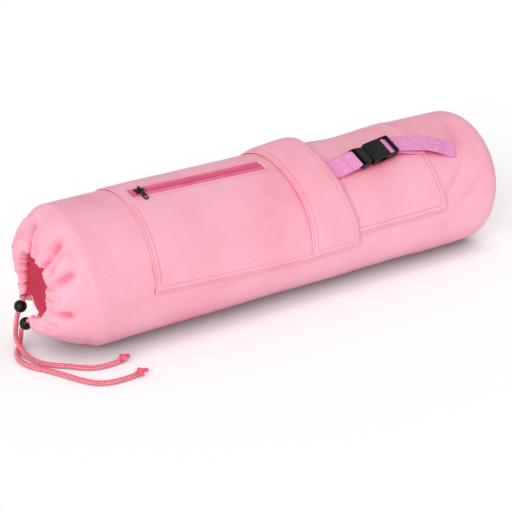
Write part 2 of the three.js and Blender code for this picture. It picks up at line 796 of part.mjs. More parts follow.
function makeMale() {
  const stem = SOCKET_START - CLEAR;
  const waist = HALF_WIDTH * 0.78;
  const base = [
    [-HALF_LENGTH, -HALF_WIDTH],
    [-HALF_LENGTH * 0.72, -HALF_WIDTH],
    [stem, -waist],
    [stem, waist],
    [-HALF_LENGTH * 0.72, HALF_WIDTH],
    [-HALF_LENGTH, HALF_WIDTH],
  ];
  const slotLeft = -HALF_LENGTH + BAR_SIZE;
  const slotRight = slotLeft + WEBBING * 2 + BAR_SIZE;
  const slot = [
    [slotLeft, -SLOT_HALF],
    [slotLeft, SLOT_HALF],
    [slotRight, SLOT_HALF],
    [slotRight, -SLOT_HALF],
  ];
  let solid = toSolid(plate(base, [slot], -HALF_THICK * 0.8, HALF_THICK * 0.8));
  for (const side of [-1, 1]) {
    const near = (side * BAR_SIZE) / 2;
    const far = side * BUCKLE_THICK;
    solid = solid.subtract(toSolid(boxBetween(
      [-BUCKLE_LENGTH, -SLOT_HALF, Math.min(near, far)],
      [slotRight, SLOT_HALF, Math.max(near, far)],
    )));
  }
  const armHalf = HALF_THICK - BUCKLE_WALL - CLEAR;
  const inner = HALF_WIDTH - BUCKLE_WALL - CLEAR;
  const reach = SOCKET_END - CLEAR * 3;
  const tongue = [
    [stem - 2, -3],
    [reach, -2],
    [reach, 2],
    [stem - 2, 3],
  ];
  const arm = [
    [stem - 2, waist - 3.4],
    [lerp(stem, reach, 0.5), inner - 3.2],
    [lerp(stem, reach, 0.95), inner - 4.6],
    [reach, inner - 2.6],
    [lerp(stem, reach, 0.62), inner],
    [lerp(stem, reach, 0.5), inner],
    [stem - 2, waist - 0.4],
  ];
  const mirrored = arm.map(([x, y]) => [x, -y]).reverse();
  for (const outline of [tongue, arm, mirrored]) {
    solid = solid.add(toSolid(plate(outline, [], -armHalf, armHalf)));
  }
  addMesh(buckleFrame, 'buckle_male', toGeometry(solid), plasticFinish);
}

function makeFemale() {
  const outline = [
    [SOCKET_START, -HALF_WIDTH * 0.9],
    [SOCKET_START + 3, -HALF_WIDTH],
    [HALF_LENGTH - 2, -HALF_WIDTH],
    [HALF_LENGTH, -HALF_WIDTH + 2],
    [HALF_LENGTH, HALF_WIDTH - 2],
    [HALF_LENGTH - 2, HALF_WIDTH],
    [SOCKET_START + 3, HALF_WIDTH],
    [SOCKET_START, HALF_WIDTH * 0.9],
  ];
  let solid = toSolid(plate(outline, [], -HALF_THICK, HALF_THICK));
  const inside = HALF_THICK - BUCKLE_WALL;
  const socketHalf = HALF_WIDTH - BUCKLE_WALL;
  solid = solid.subtract(toSolid(boxBetween(
    [SOCKET_START - 1, -socketHalf, -inside],
    [SOCKET_END, socketHalf, inside],
  )));
  const windowLeft = lerp(SOCKET_START, SOCKET_END, 0.42);
  solid = solid.subtract(toSolid(boxBetween(
    [windowLeft, -BUCKLE_WIDTH, -inside],
    [SOCKET_END - 3, BUCKLE_WIDTH, inside],
  )));
  const strapLeft = CENTRE_BAR_X - BAR_SIZE / 2 - WEBBING - 2.6;
  solid = solid.subtract(toSolid(boxBetween(
    [strapLeft, -SLOT_HALF, -BUCKLE_THICK],
    [END_BAR_X - 1.6, SLOT_HALF, BUCKLE_THICK],
  )));
  solid = solid.subtract(toSolid(boxBetween(
    [END_BAR_X - 2, -SLOT_HALF, -BUCKLE_THICK],
    [HALF_LENGTH + 1, SLOT_HALF, WEBBING * 0.3],
  )));
  const bar = boxBetween(
    [CENTRE_BAR_X - BAR_SIZE / 2, -HALF_WIDTH + 1, -BAR_SIZE / 2],
    [CENTRE_BAR_X + BAR_SIZE / 2, HALF_WIDTH - 1, BAR_SIZE / 2],
  );
  solid = solid.add(toSolid(bar));
  addMesh(buckleFrame, 'buckle_female', toGeometry(solid), plasticFinish);
}

// One station of a strap: its middle, the way across it, and how far it curls
// round the bag. Buckle stations are given in the buckle's frame.
function strapOnBuckle(x, z) {
  buckleFrame.updateMatrixWorld(true);
  const middle = new THREE.Vector3(x, 0, z).applyMatrix4(buckleFrame.matrix);
  const side = new THREE.Vector3(0, 1, 0).applyQuaternion(buckleFrame.quaternion);
  return { middle, side, curl: 0 };
}

function strapOnSkin(x, angle, lift, skew, curl) {
  const { out, up } = skinAxes(angle);
  const side = up.clone().multiplyScalar(Math.cos(radians(skew)));
  side.x -= Math.sin(radians(skew));
  return { middle: skinPoint(x, angle, lift), side, curl, out };
}

function ribbon(stations, width, thick) {
  const columns = 4;
  const rings = stations.map((station, i) => {
    const before = stations[Math.max(0, i - 1)].middle;
    const after = stations[Math.min(stations.length - 1, i + 1)].middle;
    const along = new THREE.Vector3().subVectors(after, before).normalize();
    const normal = new THREE.Vector3().crossVectors(along, station.side).normalize();
    const lower = [];
    const upper = [];
    for (let j = 0; j <= columns; j += 1) {
      const across = (j / columns - 0.5) * width;
      const drop = (station.curl * across * across) / (2 * BAG_RADIUS);
      const place = station.middle.clone().addScaledVector(station.side, across);
      if (station.out) {
        place.addScaledVector(station.out, -drop);
      }
      lower.push(place.clone().addScaledVector(normal, -thick / 2));
      upper.push(place.clone().addScaledVector(normal, thick / 2));
    }
    return [...lower, ...upper.reverse()];
  });
  return barFromRings(rings);
}

const ON_POCKET = CLEAR + PANEL + CLEAR + WEBBING / 2;
const WRAP = BAR_SIZE / 2 * 1.2 + CLEAR + WEBBING / 2;

function pocketStation(x, angle, extra, skew, curl) {
  return strapOnSkin(x, angle, ON_POCKET + openPocketLift(x, angle) + extra, skew, curl);
}

// A turn of webbing round a bar, seen along it, from one angle to another.
function wrapStations(barX, fromDegrees, toDegrees, count) {
  const stations = [];
  for (let i = 0; i <= count; i += 1) {
    const turn = radians(lerp(fromDegrees, toDegrees, i / count));
    stations.push(strapOnBuckle(barX + WRAP * Math.cos(turn), WRAP * Math.sin(turn)));
  }
  return stations;
}

function makeShortStrap() {
  const sewn = MALE_BAR_X - WRAP - 9;
  const stations = [
    pocketStation(STRAP_START_X, STRAP_START_ANGLE, 0, 0, 1),
    pocketStation(lerp(STRAP_START_X, BUCKLE_X - HALF_LENGTH, 0.35), STRAP_START_ANGLE, 0, 1, 1),
    pocketStation(lerp(STRAP_START_X, BUCKLE_X - HALF_LENGTH, 0.62), STRAP_START_ANGLE + 0.3, 0.3, 3, 0.7),
    strapOnBuckle(sewn, -WRAP),
    ...wrapStations(MALE_BAR_X, -90, 90, 6),
    strapOnBuckle(sewn, -WRAP + WEBBING + CLEAR * 1.5),
    strapOnBuckle(sewn - 7, -WRAP + WEBBING + CLEAR * 1.5),
  ];
  addMesh(bag, 'webbing_short', ribbon(stations, WEBBING_WIDTH, WEBBING), webbingFinish);
}

function makeLongStrap() {
  const onBag = CLEAR + WEBBING / 2;
  const span = STRAP_END_X - (BUCKLE_X + HALF_LENGTH);
  const at = (share) => BUCKLE_X + HALF_LENGTH + share * span;
  const arch = { x: at(0.52), angle: 56, lift: ON_POCKET + 5.5 };
  const stations = [
    strapOnSkin(STRAP_END_X, STRAP_END_ANGLE, onBag, -13, 1),
    strapOnSkin(STRAP_END_X - 14, STRAP_END_ANGLE + 2.2, onBag, -13, 1),
    strapOnSkin(at(0.76), STRAP_END_ANGLE + 4.4, onBag + 2.6, -11, 0.7),
    strapOnSkin(arch.x, arch.angle, arch.lift, -6, 0.4),
    strapOnSkin(at(0.3), 59.2, arch.lift - 0.6, 2, 0.2),
    strapOnBuckle(HALF_LENGTH + 6, -0.9),
    strapOnBuckle(HALF_LENGTH - 1, -1),
    strapOnBuckle(CENTRE_BAR_X + WRAP + 1.6, -0.7),
    ...wrapStations(CENTRE_BAR_X, 15, 250, 8),
    strapOnBuckle(CENTRE_BAR_X + 3, -WRAP - 0.7),
    strapOnBuckle(HALF_LENGTH + 2, -WRAP - 1.1),
    pocketStation(at(0.24), 58.6, 0.6, 4, 0.6),
    pocketStation(lerp(at(0.24), TAIL_END_X, 0.5), 57.6, 0.2, 0, 1),
    pocketStation(TAIL_END_X, TAIL_END_ANGLE, 0, -4, 1),
  ];
  addMesh(bag, 'webbing_long', ribbon(stations, WEBBING_WIDTH, WEBBING), webbingFinish);
}

// Drawstring. The loop lies in the hem; the two tails pass a bead each, reach the
// floor and end in a knot. The route is chosen by hand and is laid on z = 0.
const FLOOR = CORD / 2 + 0.2;
const TAIL_A = [
  [-319.3, 35.82, 55.5],
  [-320.7, 34.75, 52.2],
  [-325, 34, 44],
  [-329.4, 33.3, 35.8],
  [-332.2, 32, 28.3],
  [-335.2, 28.7, 20.2],
  [-340, 20.5, 15.4],
  [-343, 12, 12.2],
  [-344, 3.5, 9.2],
  [-344, -5, 5.6],
  [-343, -14, FLOOR + 0.4],
  [-341.3, -27, FLOOR],
  [-336.5, -41, FLOOR],
  [-327, -53, FLOOR],
  [-316, -63, FLOOR],
  [-305, -75, FLOOR],
  [-293, -83.5, FLOOR],
  [-277, -87, FLOOR],
  [-262, -86.5, FLOOR + 0.2],
];
const TAIL_B = [
  [-325, 3.8, 36.82],
  [-325.1, 6.3, 36.8],
  [-325.9, 11.3, 34.6],
  [-327, 18, 28.2],
  [-328.1, 24.7, 21.8],
  [-329, 27.3, 16.2],
  [-330.4, 26, 10.5],
  [-333.8, 22, 5],
  [-338.8, 15.5, FLOOR],
  [-345, 7.5, FLOOR],
  [-351, -2.5, FLOOR],
  [-354.7, -14, FLOOR],
  [-354.7, -27, FLOOR],
  [-350.5, -41, FLOOR],
  [-341, -58, FLOOR],
  [-330, -80, FLOOR],
  [-319.5, -103, FLOOR],
  [-308, -119, FLOOR],
  [-292, -126, FLOOR],
  [-275, -127, FLOOR],
  [-263, -126.5, FLOOR + 0.2],
];
const BEADS = [
  { name: 'cord_bead_a', at: [-325, 34, 44], along: [-0.47, -0.08, -0.88] },
  { name: 'cord_bead_b', at: [-327, 18, 28.2], along: [-0.12, 0.72, -0.69] },
];
const KNOTS = [
  { name: 'cord_knot_a', at: [-256, -85, KNOT / 2 + 0.2], along: [0.98, 0.2, 0] },
  { name: 'cord_knot_b', at: [-257, -126.6, KNOT / 2 + 0.2], along: [0.99, 0, 0] },
];

function vectors(points) {
  return points.map(([x, y, z]) => new THREE.Vector3(x, y, z));
}

function cordShape(diameter) {
  const shape = new THREE.Shape();
  const sides = 8;
  for (let i = 0; i < sides; i += 1) {
    const turn = ((i + 0.5) * 2 * Math.PI) / sides;
    const place = [(diameter / 2) * Math.cos(turn), (diameter / 2) * Math.sin(turn)];
    if (i === 0) {
      shape.moveTo(...place);
    } else {
      shape.lineTo(...place);
    }
  }
  return shape;
}

function cordAlong(points, steps) {
  const extrudePath = new THREE.CatmullRomCurve3(points, false, 'centripetal');
  return new THREE.ExtrudeGeometry(cordShape(CORD), { steps, extrudePath, bevelEnabled: false });
}

function makeDrawstring() {
  const inHem = hemAngles(40).map((angle) => {
    const ring = hemRing(angle, 1, 1, 0, 4);
    return ring[0].clone().add(ring[2]).multiplyScalar(0.5);
  });
  addMesh(bag, 'drawstring_loop', cordAlong(inHem, 32), cordFinish);
  addMesh(bag, 'drawstring_tail_a', cordAlong(vectors(TAIL_A), 26), cordFinish);
  addMesh(bag, 'drawstring_tail_b', cordAlong(vectors(TAIL_B), 28), cordFinish);
  for (const { name, at, along } of BEADS) {
    const axis = new THREE.Vector3(...along).normalize();
    const mesh = addMesh(bag, name, beadGeometry(), plasticFinish);
    mesh.quaternion.setFromUnitVectors(new THREE.Vector3(0, 1, 0), axis);
    mesh.position.set(...at);
  }
  for (const { name, at, along } of KNOTS) {
    const axis = new THREE.Vector3(...along).normalize();
    const mesh = addMesh(bag, name, new THREE.SphereGeometry(KNOT / 2, 10, 6), cordFinish);
    mesh.quaternion.setFromUnitVectors(new THREE.Vector3(0, 1, 0), axis);
    mesh.position.set(...at);
  }
}

function beadGeometry() {
  const bore = BEAD_BORE / 2;
  const radius = BEAD / 2;
  const start = Math.asin(bore / radius);
  const steps = 7;
  const profile = [];
  for (let i = 0; i <= steps; i += 1) {
    const turn = lerp(start, Math.PI - start, i / steps);
    profile.push(new THREE.Vector2(radius * Math.sin(turn), -radius * Math.cos(turn)));
  }
  profile.push(profile[0].clone());
  return new THREE.LatheGeometry(profile, 14);
}

makeBagTube();
makeMouthGather();
makeEndPanel();
makeHem();
makeZipPocket();
makeZip();
makeSlider();
makePullTab();
makeOpenPocket();
makeBand();
bag.add(buckleFrame);
makeMale();
makeFemale();
makeShortStrap();
makeLongStrap();
makeDrawstring();

// The origin goes under the middle of everything but the cord and what is on it.
const box = new THREE.Box3();
bag.updateMatrixWorld(true);
bag.traverse((part) => {
  if (part.isMesh && !/drawstring|cord/.test(part.name)) {
    box.expandByObject(part, true);
  }
});
bag.position.set(-(box.min.x + box.max.x) / 2, -(box.min.y + box.max.y) / 2, 0);

export default bag;
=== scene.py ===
# A soft bag for a rolled mat, lying on its side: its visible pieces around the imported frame.
import math

import bmesh
import bpy
import numpy as np
from mathutils import Matrix, Vector


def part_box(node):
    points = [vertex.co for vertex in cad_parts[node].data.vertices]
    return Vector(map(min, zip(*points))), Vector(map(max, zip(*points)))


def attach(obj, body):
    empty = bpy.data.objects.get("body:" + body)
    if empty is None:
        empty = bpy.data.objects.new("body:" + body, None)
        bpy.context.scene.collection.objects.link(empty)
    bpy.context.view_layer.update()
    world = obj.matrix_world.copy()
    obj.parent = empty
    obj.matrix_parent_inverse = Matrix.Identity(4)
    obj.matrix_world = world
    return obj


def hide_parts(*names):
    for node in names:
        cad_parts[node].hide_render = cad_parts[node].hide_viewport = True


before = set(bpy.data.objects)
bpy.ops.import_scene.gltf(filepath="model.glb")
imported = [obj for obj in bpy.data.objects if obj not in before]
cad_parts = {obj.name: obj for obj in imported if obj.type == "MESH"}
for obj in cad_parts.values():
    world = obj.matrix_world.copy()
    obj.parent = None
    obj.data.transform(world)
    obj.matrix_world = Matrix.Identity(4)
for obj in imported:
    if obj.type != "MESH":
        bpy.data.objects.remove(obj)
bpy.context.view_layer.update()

# Sizes in millimetres, as the CAD has them
RADIUS = 89.0
AXIS = 84.5
LIP_X = -331.0
END_X = 331.0
ROUND = 25.0
CLOTH = 1.5
CLEAR = 0.35
PANEL = 1.2
SHOULDER_X = LIP_X + 43
LIP_RADIUS = 41.0
HEM_WIDTH = 15.0
HEM_DEPTH = 9.0
GAP_START = 218.0
GAP_END = 266.0
END_BULGE = 1.5
SEAM_LAP = 0.8
SHOULDER_EASE = 0.08
CORD = 5.5
CORD_RADIUS = CORD / 2 - 0.05
STRANDS = 4
LAY = 18.0
DEGREE = math.pi / 180
ARC = RADIUS * DEGREE
LIP_DENT = 6.0
UNDER_REACH = 26.0

# The pockets, from left to right and from low to high: x in millimetres, heights as angles
ZIP_LEFT = -212.0
ZIP_RIGHT = 29.0
WINDOW_LEFT = -196.0
WINDOW_RIGHT = -15.0
WINDOW_TOP = (87.6, 84.4)
WINDOW_HEIGHT = 19.0
WINDOW_SPREAD = WINDOW_HEIGHT / (RADIUS + CLEAR) / DEGREE
WINDOW_SEAM = 4.0
OPEN_LEFT = 33.0
OPEN_RIGHT = 219.0
OPEN_FLARE = 11.0
OPEN_LOW = -2.0
OPEN_PUFF = 1.8
OPEN_PUFF_SPREAD = 52.0
PANEL_TOP = 120.0
ZIP_LOW_EDGE = (1.2, 12)
OPEN_LOW_EDGE = (1.3, 16)
ON_PANEL = CLEAR + PANEL - 0.05

# The band over the pockets
BAND_LEFT = 1.0
BAND_WIDTH = 61.0
BAND_LOW = -11.0
BAND_BACK = 165.0
BAND_LEAN = 12.0
BAND_FLARE = 11.0
BAND_STAND = (2.0, 3.4)
BAND_FLAT = 0.8
BAND_OVER_STRAP = 2.3
BAND_TOP = (0.2, 6.4)
ON_BAND = CLOTH - 0.1

# Sewing: how far the two rows of stitches lie from an edge, and how the grids step towards one
SEAMS = (2.6, 8.0)
EDGE_STEPS = (0, 0.3, 0.8, 1.5, 2.2, 2.6, 3.0, 3.8, 5.2, 6.8, 7.6, 8.0, 8.4, 9.2, 11)

# Zip tape, webbing and buckle
TAPE = 0.8
WEBBING = 1.4
WEBBING_WIDTH = 25.0
STRAP_START = 46.0
STRAP_END = 264.0
STRAP_ANGLE = 54.0
BUCKLE_X = 137.0
BUCKLE_ANGLE = 58.5
BUCKLE_SKEW = 8.0
BUCKLE_LENGTH = 66.0
BUCKLE_THICK = 9.0
BUCKLE_STAND = 0.5
BAR = 1.3
WRAP = BAR * 1.2 + CLEAR + WEBBING / 2
MALE_BAR = BAR - BUCKLE_LENGTH / 2
CENTRE_BAR = BUCKLE_LENGTH / 2 - 9.6
ON_POCKET = CLEAR + PANEL + CLEAR + WEBBING / 2

# The CAD's own shift, read from two of its boxes
shift = np.array([
    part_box("end_panel")[1][0] * 1000 - END_X - END_BULGE,
    (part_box("bag_tube")[0][1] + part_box("bag_tube")[1][1]) * 500,
    0.0,
])

GATHERS = [  # angle at the hem, angle at its end, width in mm, depth in mm, share where it ends
    (45, 64, 6.5, 16.0, 0.9), (29, 55, 4.0, 6.5, 0.88), (18, 29, 4.5, 13.0, 0.88), (2, 6, 4.0, 4.0, 0.45),
    (-18, -12, 4.5, 11.0, 0.7), (-36, -28, 4.0, 4.5, 0.4), (-52, -46, 4.0, 5.0, 0.45),
    (-68, -64, 4.0, 4.5, 0.4), (66, 97, 4.5, 4.5, 0.85), (84, 107, 5.5, 13.0, 0.8),
    (101, 118, 4.0, 5.5, 0.55), (118, 130, 4.5, 7.0, 0.7), (136, 142, 4.0, 4.0, 0.5),
    (154, 150, 5.0, 6.0, 0.7), (174, 170, 4.5, 5.0, 0.6), (192, 196, 4.5, 4.5, 0.5),
    (208, 214, 4.0, 3.5, 0.4),
]

PUFFS = [  # angle, share, half width in degrees, half run as a share, height in mm
    (6, 0.52, 12, 0.22, 4.6), (40, 0.48, 6, 0.24, 3.0), (-32, 0.5, 14, 0.26, 4.0), (78, 0.55, 9, 0.24, 2.4),
]

CREASES = [  # x and angle at one end, x and angle at the other, width in mm, depth in mm
    (228, 7, 270, 34, 4.5, 4.0), (262, 2, 312, 24, 6.0, 3.6), (292, 80, 276, 50, 8.0, 4.0),
    (196, 100, 217, 66, 4.0, 2.4), (252, -24, 222, -14, 6.0, 2.0), (-120, -22, -70, -10, 8.0, 2.2),
]

DENTS = [  # x, angle, half run in mm, half width in degrees, depth in mm
    (132, 114, 52, 22, 4.6), (-107, 95, 22, 5, 2.2), (-44, 98, 18, 5, 2.0), (-90, 24, 60, 16, 1.2),
    (-20, 8, 40, 14, 1.2), (150, 12, 34, 10, 1.4),
]


def bell(distance, width):
    return np.exp(-((distance / width) ** 2))


def smooth(value, low, high):
    t = np.clip((value - low) / (high - low), 0, 1)
    return t * t * (3 - 2 * t)


def lerp(a, b, t):
    return a + (b - a) * t


def apart(a, b):
    return (a - b + 540) % 360 - 180


def unit(v):
    return v / np.maximum(np.linalg.norm(v, axis=-1, keepdims=True), 1e-12)


def round_skin(x, angle, lift):
    """Points off the undented tube: x along it, angle up from the front, lift off it."""
    x, angle, lift = np.broadcast_arrays(*(np.asarray(v, float) for v in (x, angle, lift)))
    turn = angle * DEGREE
    r = RADIUS + lift
    return np.stack([x, -np.cos(turn) * r, AXIS + np.sin(turn) * r], -1)


def dented(x, angle):
    """How far the tube and all that is sewn on it sink together."""
    depth = 0
    for at, turn, run, wide, deep in DENTS:
        depth = depth + deep * bell(x - at, run) * bell(apart(angle, turn), wide)
    return depth


def skin(x, angle, lift):
    """Points off the dented tube."""
    x, angle, lift = np.broadcast_arrays(*(np.asarray(v, float) for v in (x, angle, lift)))
    return round_skin(x, angle, lift - dented(x, angle))


def out_at(angle):
    turn = np.asarray(angle, float) * DEGREE
    return np.stack([turn * 0, -np.cos(turn), np.sin(turn)], -1)


def up_at(angle):
    turn = np.asarray(angle, float) * DEGREE
    return np.stack([turn * 0, np.sin(turn), np.cos(turn)], -1)


def ripples(seed, count, shortest, longest):
    """A sum of waves over x and arc length, each a whole number of times round the bag."""
    rng = np.random.default_rng(seed)
    waves = []
    for _ in range(count):
        length = rng.uniform(shortest, longest)
        lean = rng.uniform(0, math.pi)
        turns = round(2 * math.pi * RADIUS / length * math.sin(lean))
        waves.append((2 * math.pi / length * math.cos(lean), turns, rng.uniform(0, 6.28)))
    return lambda x, angle: sum(
        np.sin(k * x + n * angle * DEGREE + p) for k, n, p in waves
    ) / math.sqrt(count)


slow_waves = ripples(3, 9, 90, 240)
quick_waves = ripples(11, 12, 26, 60)


def lip_dent(angle):
    """One where the lip is pushed in, by the open part of the hem."""
    return bell(apart(angle, 195), 45)


def lip_x(angle):
    return LIP_X + LIP_DENT * lip_dent(angle)


def hem_slope(angle):
    return (84 - 24 * lip_dent(angle)) * DEGREE


def open_edge(angle):
    """One where the hem is open and the tube's own edge shows."""
    turn = (angle + 360) % 360
    a, b = GAP_START + 0.5, GAP_END - 0.5
    return smooth(turn, a, a + 5) * (1 - smooth(turn, b - 5, b))


def hemmed(angle):
    """One where the mouth has its hem, nothing where the hem is open."""
    turn = (angle + 360) % 360
    return smooth(np.maximum(GAP_START - turn, turn - GAP_END), 0, 9)


def underside(angle):
    return bell(apart(angle, -70), 55)


def gather_depth(angle, share):
    """How deep the gathered folds lie under the dome, less what the cloth between them puffs out."""
    around = lerp(LIP_RADIUS + HEM_WIDTH, RADIUS, share) * DEGREE
    depth = 0
    for at_hem, at_end, width, deep, reach in GATHERS:
        run = share / reach
        off = np.abs(apart(angle, lerp(at_hem, at_end, np.minimum(run, 1)))) * around
        valley = np.exp(-((off / (width * (1 + 0.8 * share))) ** 1.4))
        depth = depth + deep * valley * (1 - smooth(run, 0.6, 1)) * (0.6 + 0.4 * smooth(run, 0, 0.5))
    for at, middle, wide, long, high in PUFFS:
        depth = depth - high * bell(apart(angle, at), wide) * bell(share - middle, long)
    brow = 0.82 + 0.06 * np.sin(angle * DEGREE * 5 + 1)
    depth = depth + 1.5 * bell(share - brow, 0.05) * (0.5 + 0.5 * np.sin(angle * DEGREE * 4 - 0.6))
    fine = np.cos(angle * DEGREE * 41 + 2.2 * np.sin(angle * DEGREE * 5))
    return (depth + (0.4 + 1.1 * fine) * (1 - smooth(share, 0.05, 0.42))) * hemmed(angle)


def crease_depth(x, angle):
    """How deep the straight creases lie in the tube's cloth."""
    depth = 0
    for x0, turn0, x1, turn1, width, deep in CREASES:
        long = math.hypot(x1 - x0, (turn1 - turn0) * ARC)
        c, s = (x1 - x0) / long, (turn1 - turn0) * ARC / long
        around = apart(angle, turn0) * ARC
        run = ((x - x0) * c + around * s) / long
        off = np.abs(around * c - (x - x0) * s)
        ends = smooth(run, -0.25, 0.3) * (1 - smooth(run, 0.7, 1.25))
        depth = depth + deep * np.exp(-((off / width) ** 1.5)) * ends
    return depth


def cloth_relief(x, angle):
    """How far the loose cloth lies under its round form, folds and soft waves together."""
    near_mouth = 1 - smooth(x, -290, -190)
    return (
        crease_depth(x, angle)
        + dented(x, angle)
        + 0.6 * slow_waves(x, angle)
        + (0.14 + 0.22 * near_mouth) * quick_waves(x, angle)
    )


def dome(angle, share, inset):
    """The drawn-in cloth from the hem, share 0, to the shoulder, share 1, as x and radius."""
    slope = hem_slope(angle)
    seam_x = lip_x(angle) + (HEM_WIDTH - SEAM_LAP) * np.cos(slope)
    seam_r = LIP_RADIUS + (HEM_WIDTH - SEAM_LAP) * np.sin(slope)
    gap = open_edge(angle)
    edge_x = lerp(seam_x, lip_x(angle) + HEM_WIDTH, gap)
    edge_r = lerp(seam_r, LIP_RADIUS, gap)
    full = 0.56 * (1 - gap) * (1 - 0.8 * underside(angle)) * (1 - 0.5 * bell(apart(angle, 115), 45))
    shoulder = SHOULDER_X + UNDER_REACH * underside(angle)
    run = np.cos(share * math.pi / 2)
    left = 1 - lerp(1 - run, np.sin(share * math.pi / 2), full)
    rise = 1 - left * left * (1 + SHOULDER_EASE) / (left + SHOULDER_EASE)
    depth = (inset + gather_depth(angle, share) * (1 - gap)) / np.hypot(run, rise)
    return (
        shoulder + (edge_x - shoulder) * run + depth * run,
        edge_r + (RADIUS - edge_r) * rise - depth * rise,
    )


def settle(points, inset):
    """The bag's weight flattens its cloth on the floor."""
    soft = 2.5
    z = points[..., 2] - inset
    points[..., 2] = inset + (z + np.sqrt(z * z + soft * soft)) / 2 - soft / 2 * np.exp(-np.abs(z) / 12)
    points[..., 2] = np.maximum(points[..., 2], inset)
    return points


def turned(x, r, angle):
    turn = angle * DEGREE
    return np.stack([x + 0 * turn, -np.cos(turn) * r, AXIS + np.sin(turn) * r], -1)


# Meshes


def mesh_piece(name, points, faces, smooth_faces=True, uv=None, period=None, shifted=True):
    """A mesh object from points in millimetres; period is how far v runs once round it."""
    points = np.asarray(points, float).reshape(-1, 3)
    if shifted:
        points = points + shift
    data = bpy.data.meshes.new(name)
    faces = np.asarray(faces, int)
    data.vertices.add(len(points))
    data.vertices.foreach_set("co", (points / 1000).ravel())
    size = faces.shape[1]
    data.loops.add(faces.size)
    data.loops.foreach_set("vertex_index", faces.ravel())
    data.polygons.add(len(faces))
    data.polygons.foreach_set("loop_start", np.arange(0, faces.size, size))
    data.polygons.foreach_set("loop_total", np.full(len(faces), size))
    data.update(calc_edges=True)
    data.validate()
    if smooth_faces:
        data.shade_smooth()
    if uv is not None:
        layer = data.uv_layers.new(name="cloth")
        corners = np.asarray(uv, float)[faces]
        if period:
            v = corners[..., 1]
            corners[..., 1] = np.where(v < v.max(1, keepdims=True) - period / 2, v + period, v)
        layer.data.foreach_set("uv", corners.ravel())
    obj = bpy.data.objects.new(name, data)
    bpy.context.scene.collection.objects.link(obj)
    return obj


def grid_faces(columns, rows, start=0, wrap=False):
    """Quads of a grid of columns by rows points, stored row by row in each column."""
    i = np.arange(columns if wrap else columns - 1)[:, None]
    j = np.arange(rows - 1)[None, :]
    k = (i + 1) % columns
    quads = np.stack([i * rows + j, k * rows + j, k * rows + j + 1, i * rows + j + 1], -1)
    return quads.reshape(-1, 4) + start


def sheet_solid(top, low, cells=None):
    """Points and outward quads of a sheet with thickness over a grid, holes left out."""
    columns, rows = top.shape[:2]
    if cells is None:
        cells = np.ones((columns - 1, rows - 1), bool)
    number = np.arange(columns * rows).reshape(columns, rows)
    a, b, c, d = number[:-1, :-1], number[1:, :-1], number[1:, 1:], number[:-1, 1:]
    under = columns * rows
    quads = [np.stack([a, b, c, d], -1)[cells], np.stack([a, d, c, b], -1)[cells] + under]
    padded = np.pad(cells, 1)
    for edge, (p, q) in (
        (cells & ~padded[1:-1, :-2], (a, b)),
        (cells & ~padded[1:-1, 2:], (c, d)),
        (cells & ~padded[:-2, 1:-1], (d, a)),
        (cells & ~padded[2:, 1:-1], (b, c)),
    ):
        p, q = p[edge], q[edge]
        quads.append(np.stack([q, p, p + under, q + under], -1))
    return np.concatenate([top.reshape(-1, 3), low.reshape(-1, 3)]), np.concatenate(quads)


def trim(obj):
    """Joins the points that meet and removes the points that no face uses."""
    b = bmesh.new()
    b.from_mesh(obj.data)
    bmesh.ops.remove_doubles(b, verts=b.verts, dist=1e-7)
    bmesh.ops.delete(b, geom=[v for v in b.verts if not v.link_faces], context="VERTS")
    bmesh.ops.recalc_face_normals(b, faces=b.faces)
    b.to_mesh(obj.data)
    b.free()
    return obj


def spline(rows, step, fine=24):
    """A centripetal curve over rows whose first three numbers are a place, resampled about every step."""
    rows = np.asarray(rows, float)
    rows = np.vstack([2 * rows[0] - rows[1], rows, 2 * rows[-1] - rows[-2]])
    found = []
    for i in range(1, len(rows) - 2):
        p0, p1, p2, p3 = rows[i - 1:i + 3]
        t0 = 0.0
        t1, t2, t3 = np.cumsum([
            max(np.linalg.norm((b - a)[:3]), 1e-6) ** 0.5 for a, b in ((p0, p1), (p1, p2), (p2, p3))
        ])
        t = np.linspace(t1, t2, fine, endpoint=False)[:, None]
        a1 = (t1 - t) / (t1 - t0) * p0 + (t - t0) / (t1 - t0) * p1
        a2 = (t2 - t) / (t2 - t1) * p1 + (t - t1) / (t2 - t1) * p2
        a3 = (t3 - t) / (t3 - t2) * p2 + (t - t2) / (t3 - t2) * p3
        b1 = (t2 - t) / (t2 - t0) * a1 + (t - t0) / (t2 - t0) * a2
        b2 = (t3 - t) / (t3 - t1) * a2 + (t - t1) / (t3 - t1) * a3
        found.append((t2 - t) / (t2 - t1) * b1 + (t - t1) / (t2 - t1) * b2)
    return resample(np.vstack([*found, rows[-2][None]]), step)


def run_along(line):
    """How far along a line each of its points is."""
    return np.concatenate([[0], np.cumsum(np.linalg.norm(np.diff(line[:, :3], axis=0), axis=1))])


def resample(line, step):
    run = run_along(line)
    count = max(2, int(round(run[-1] / step)) + 1)
    at = np.linspace(0, run[-1], count)
    return np.stack([np.interp(at, run, line[:, k]) for k in range(line.shape[1])], -1)


def frames_along(line):
    """Tangents and two sides along a line, carried on without twist."""
    tangent = unit(np.gradient(line, axis=0))
    side = np.zeros_like(line)
    first = np.cross(tangent[0], [0, 0, 1.0])
    if np.linalg.norm(first) < 0.1:
        first = np.cross(tangent[0], [1.0, 0, 0])
    side[0] = unit(first)
    for i in range(1, len(line)):
        s = side[i - 1] - tangent[i] * (side[i - 1] @ tangent[i])
        side[i] = unit(s)
    return tangent, side, np.cross(tangent, side)


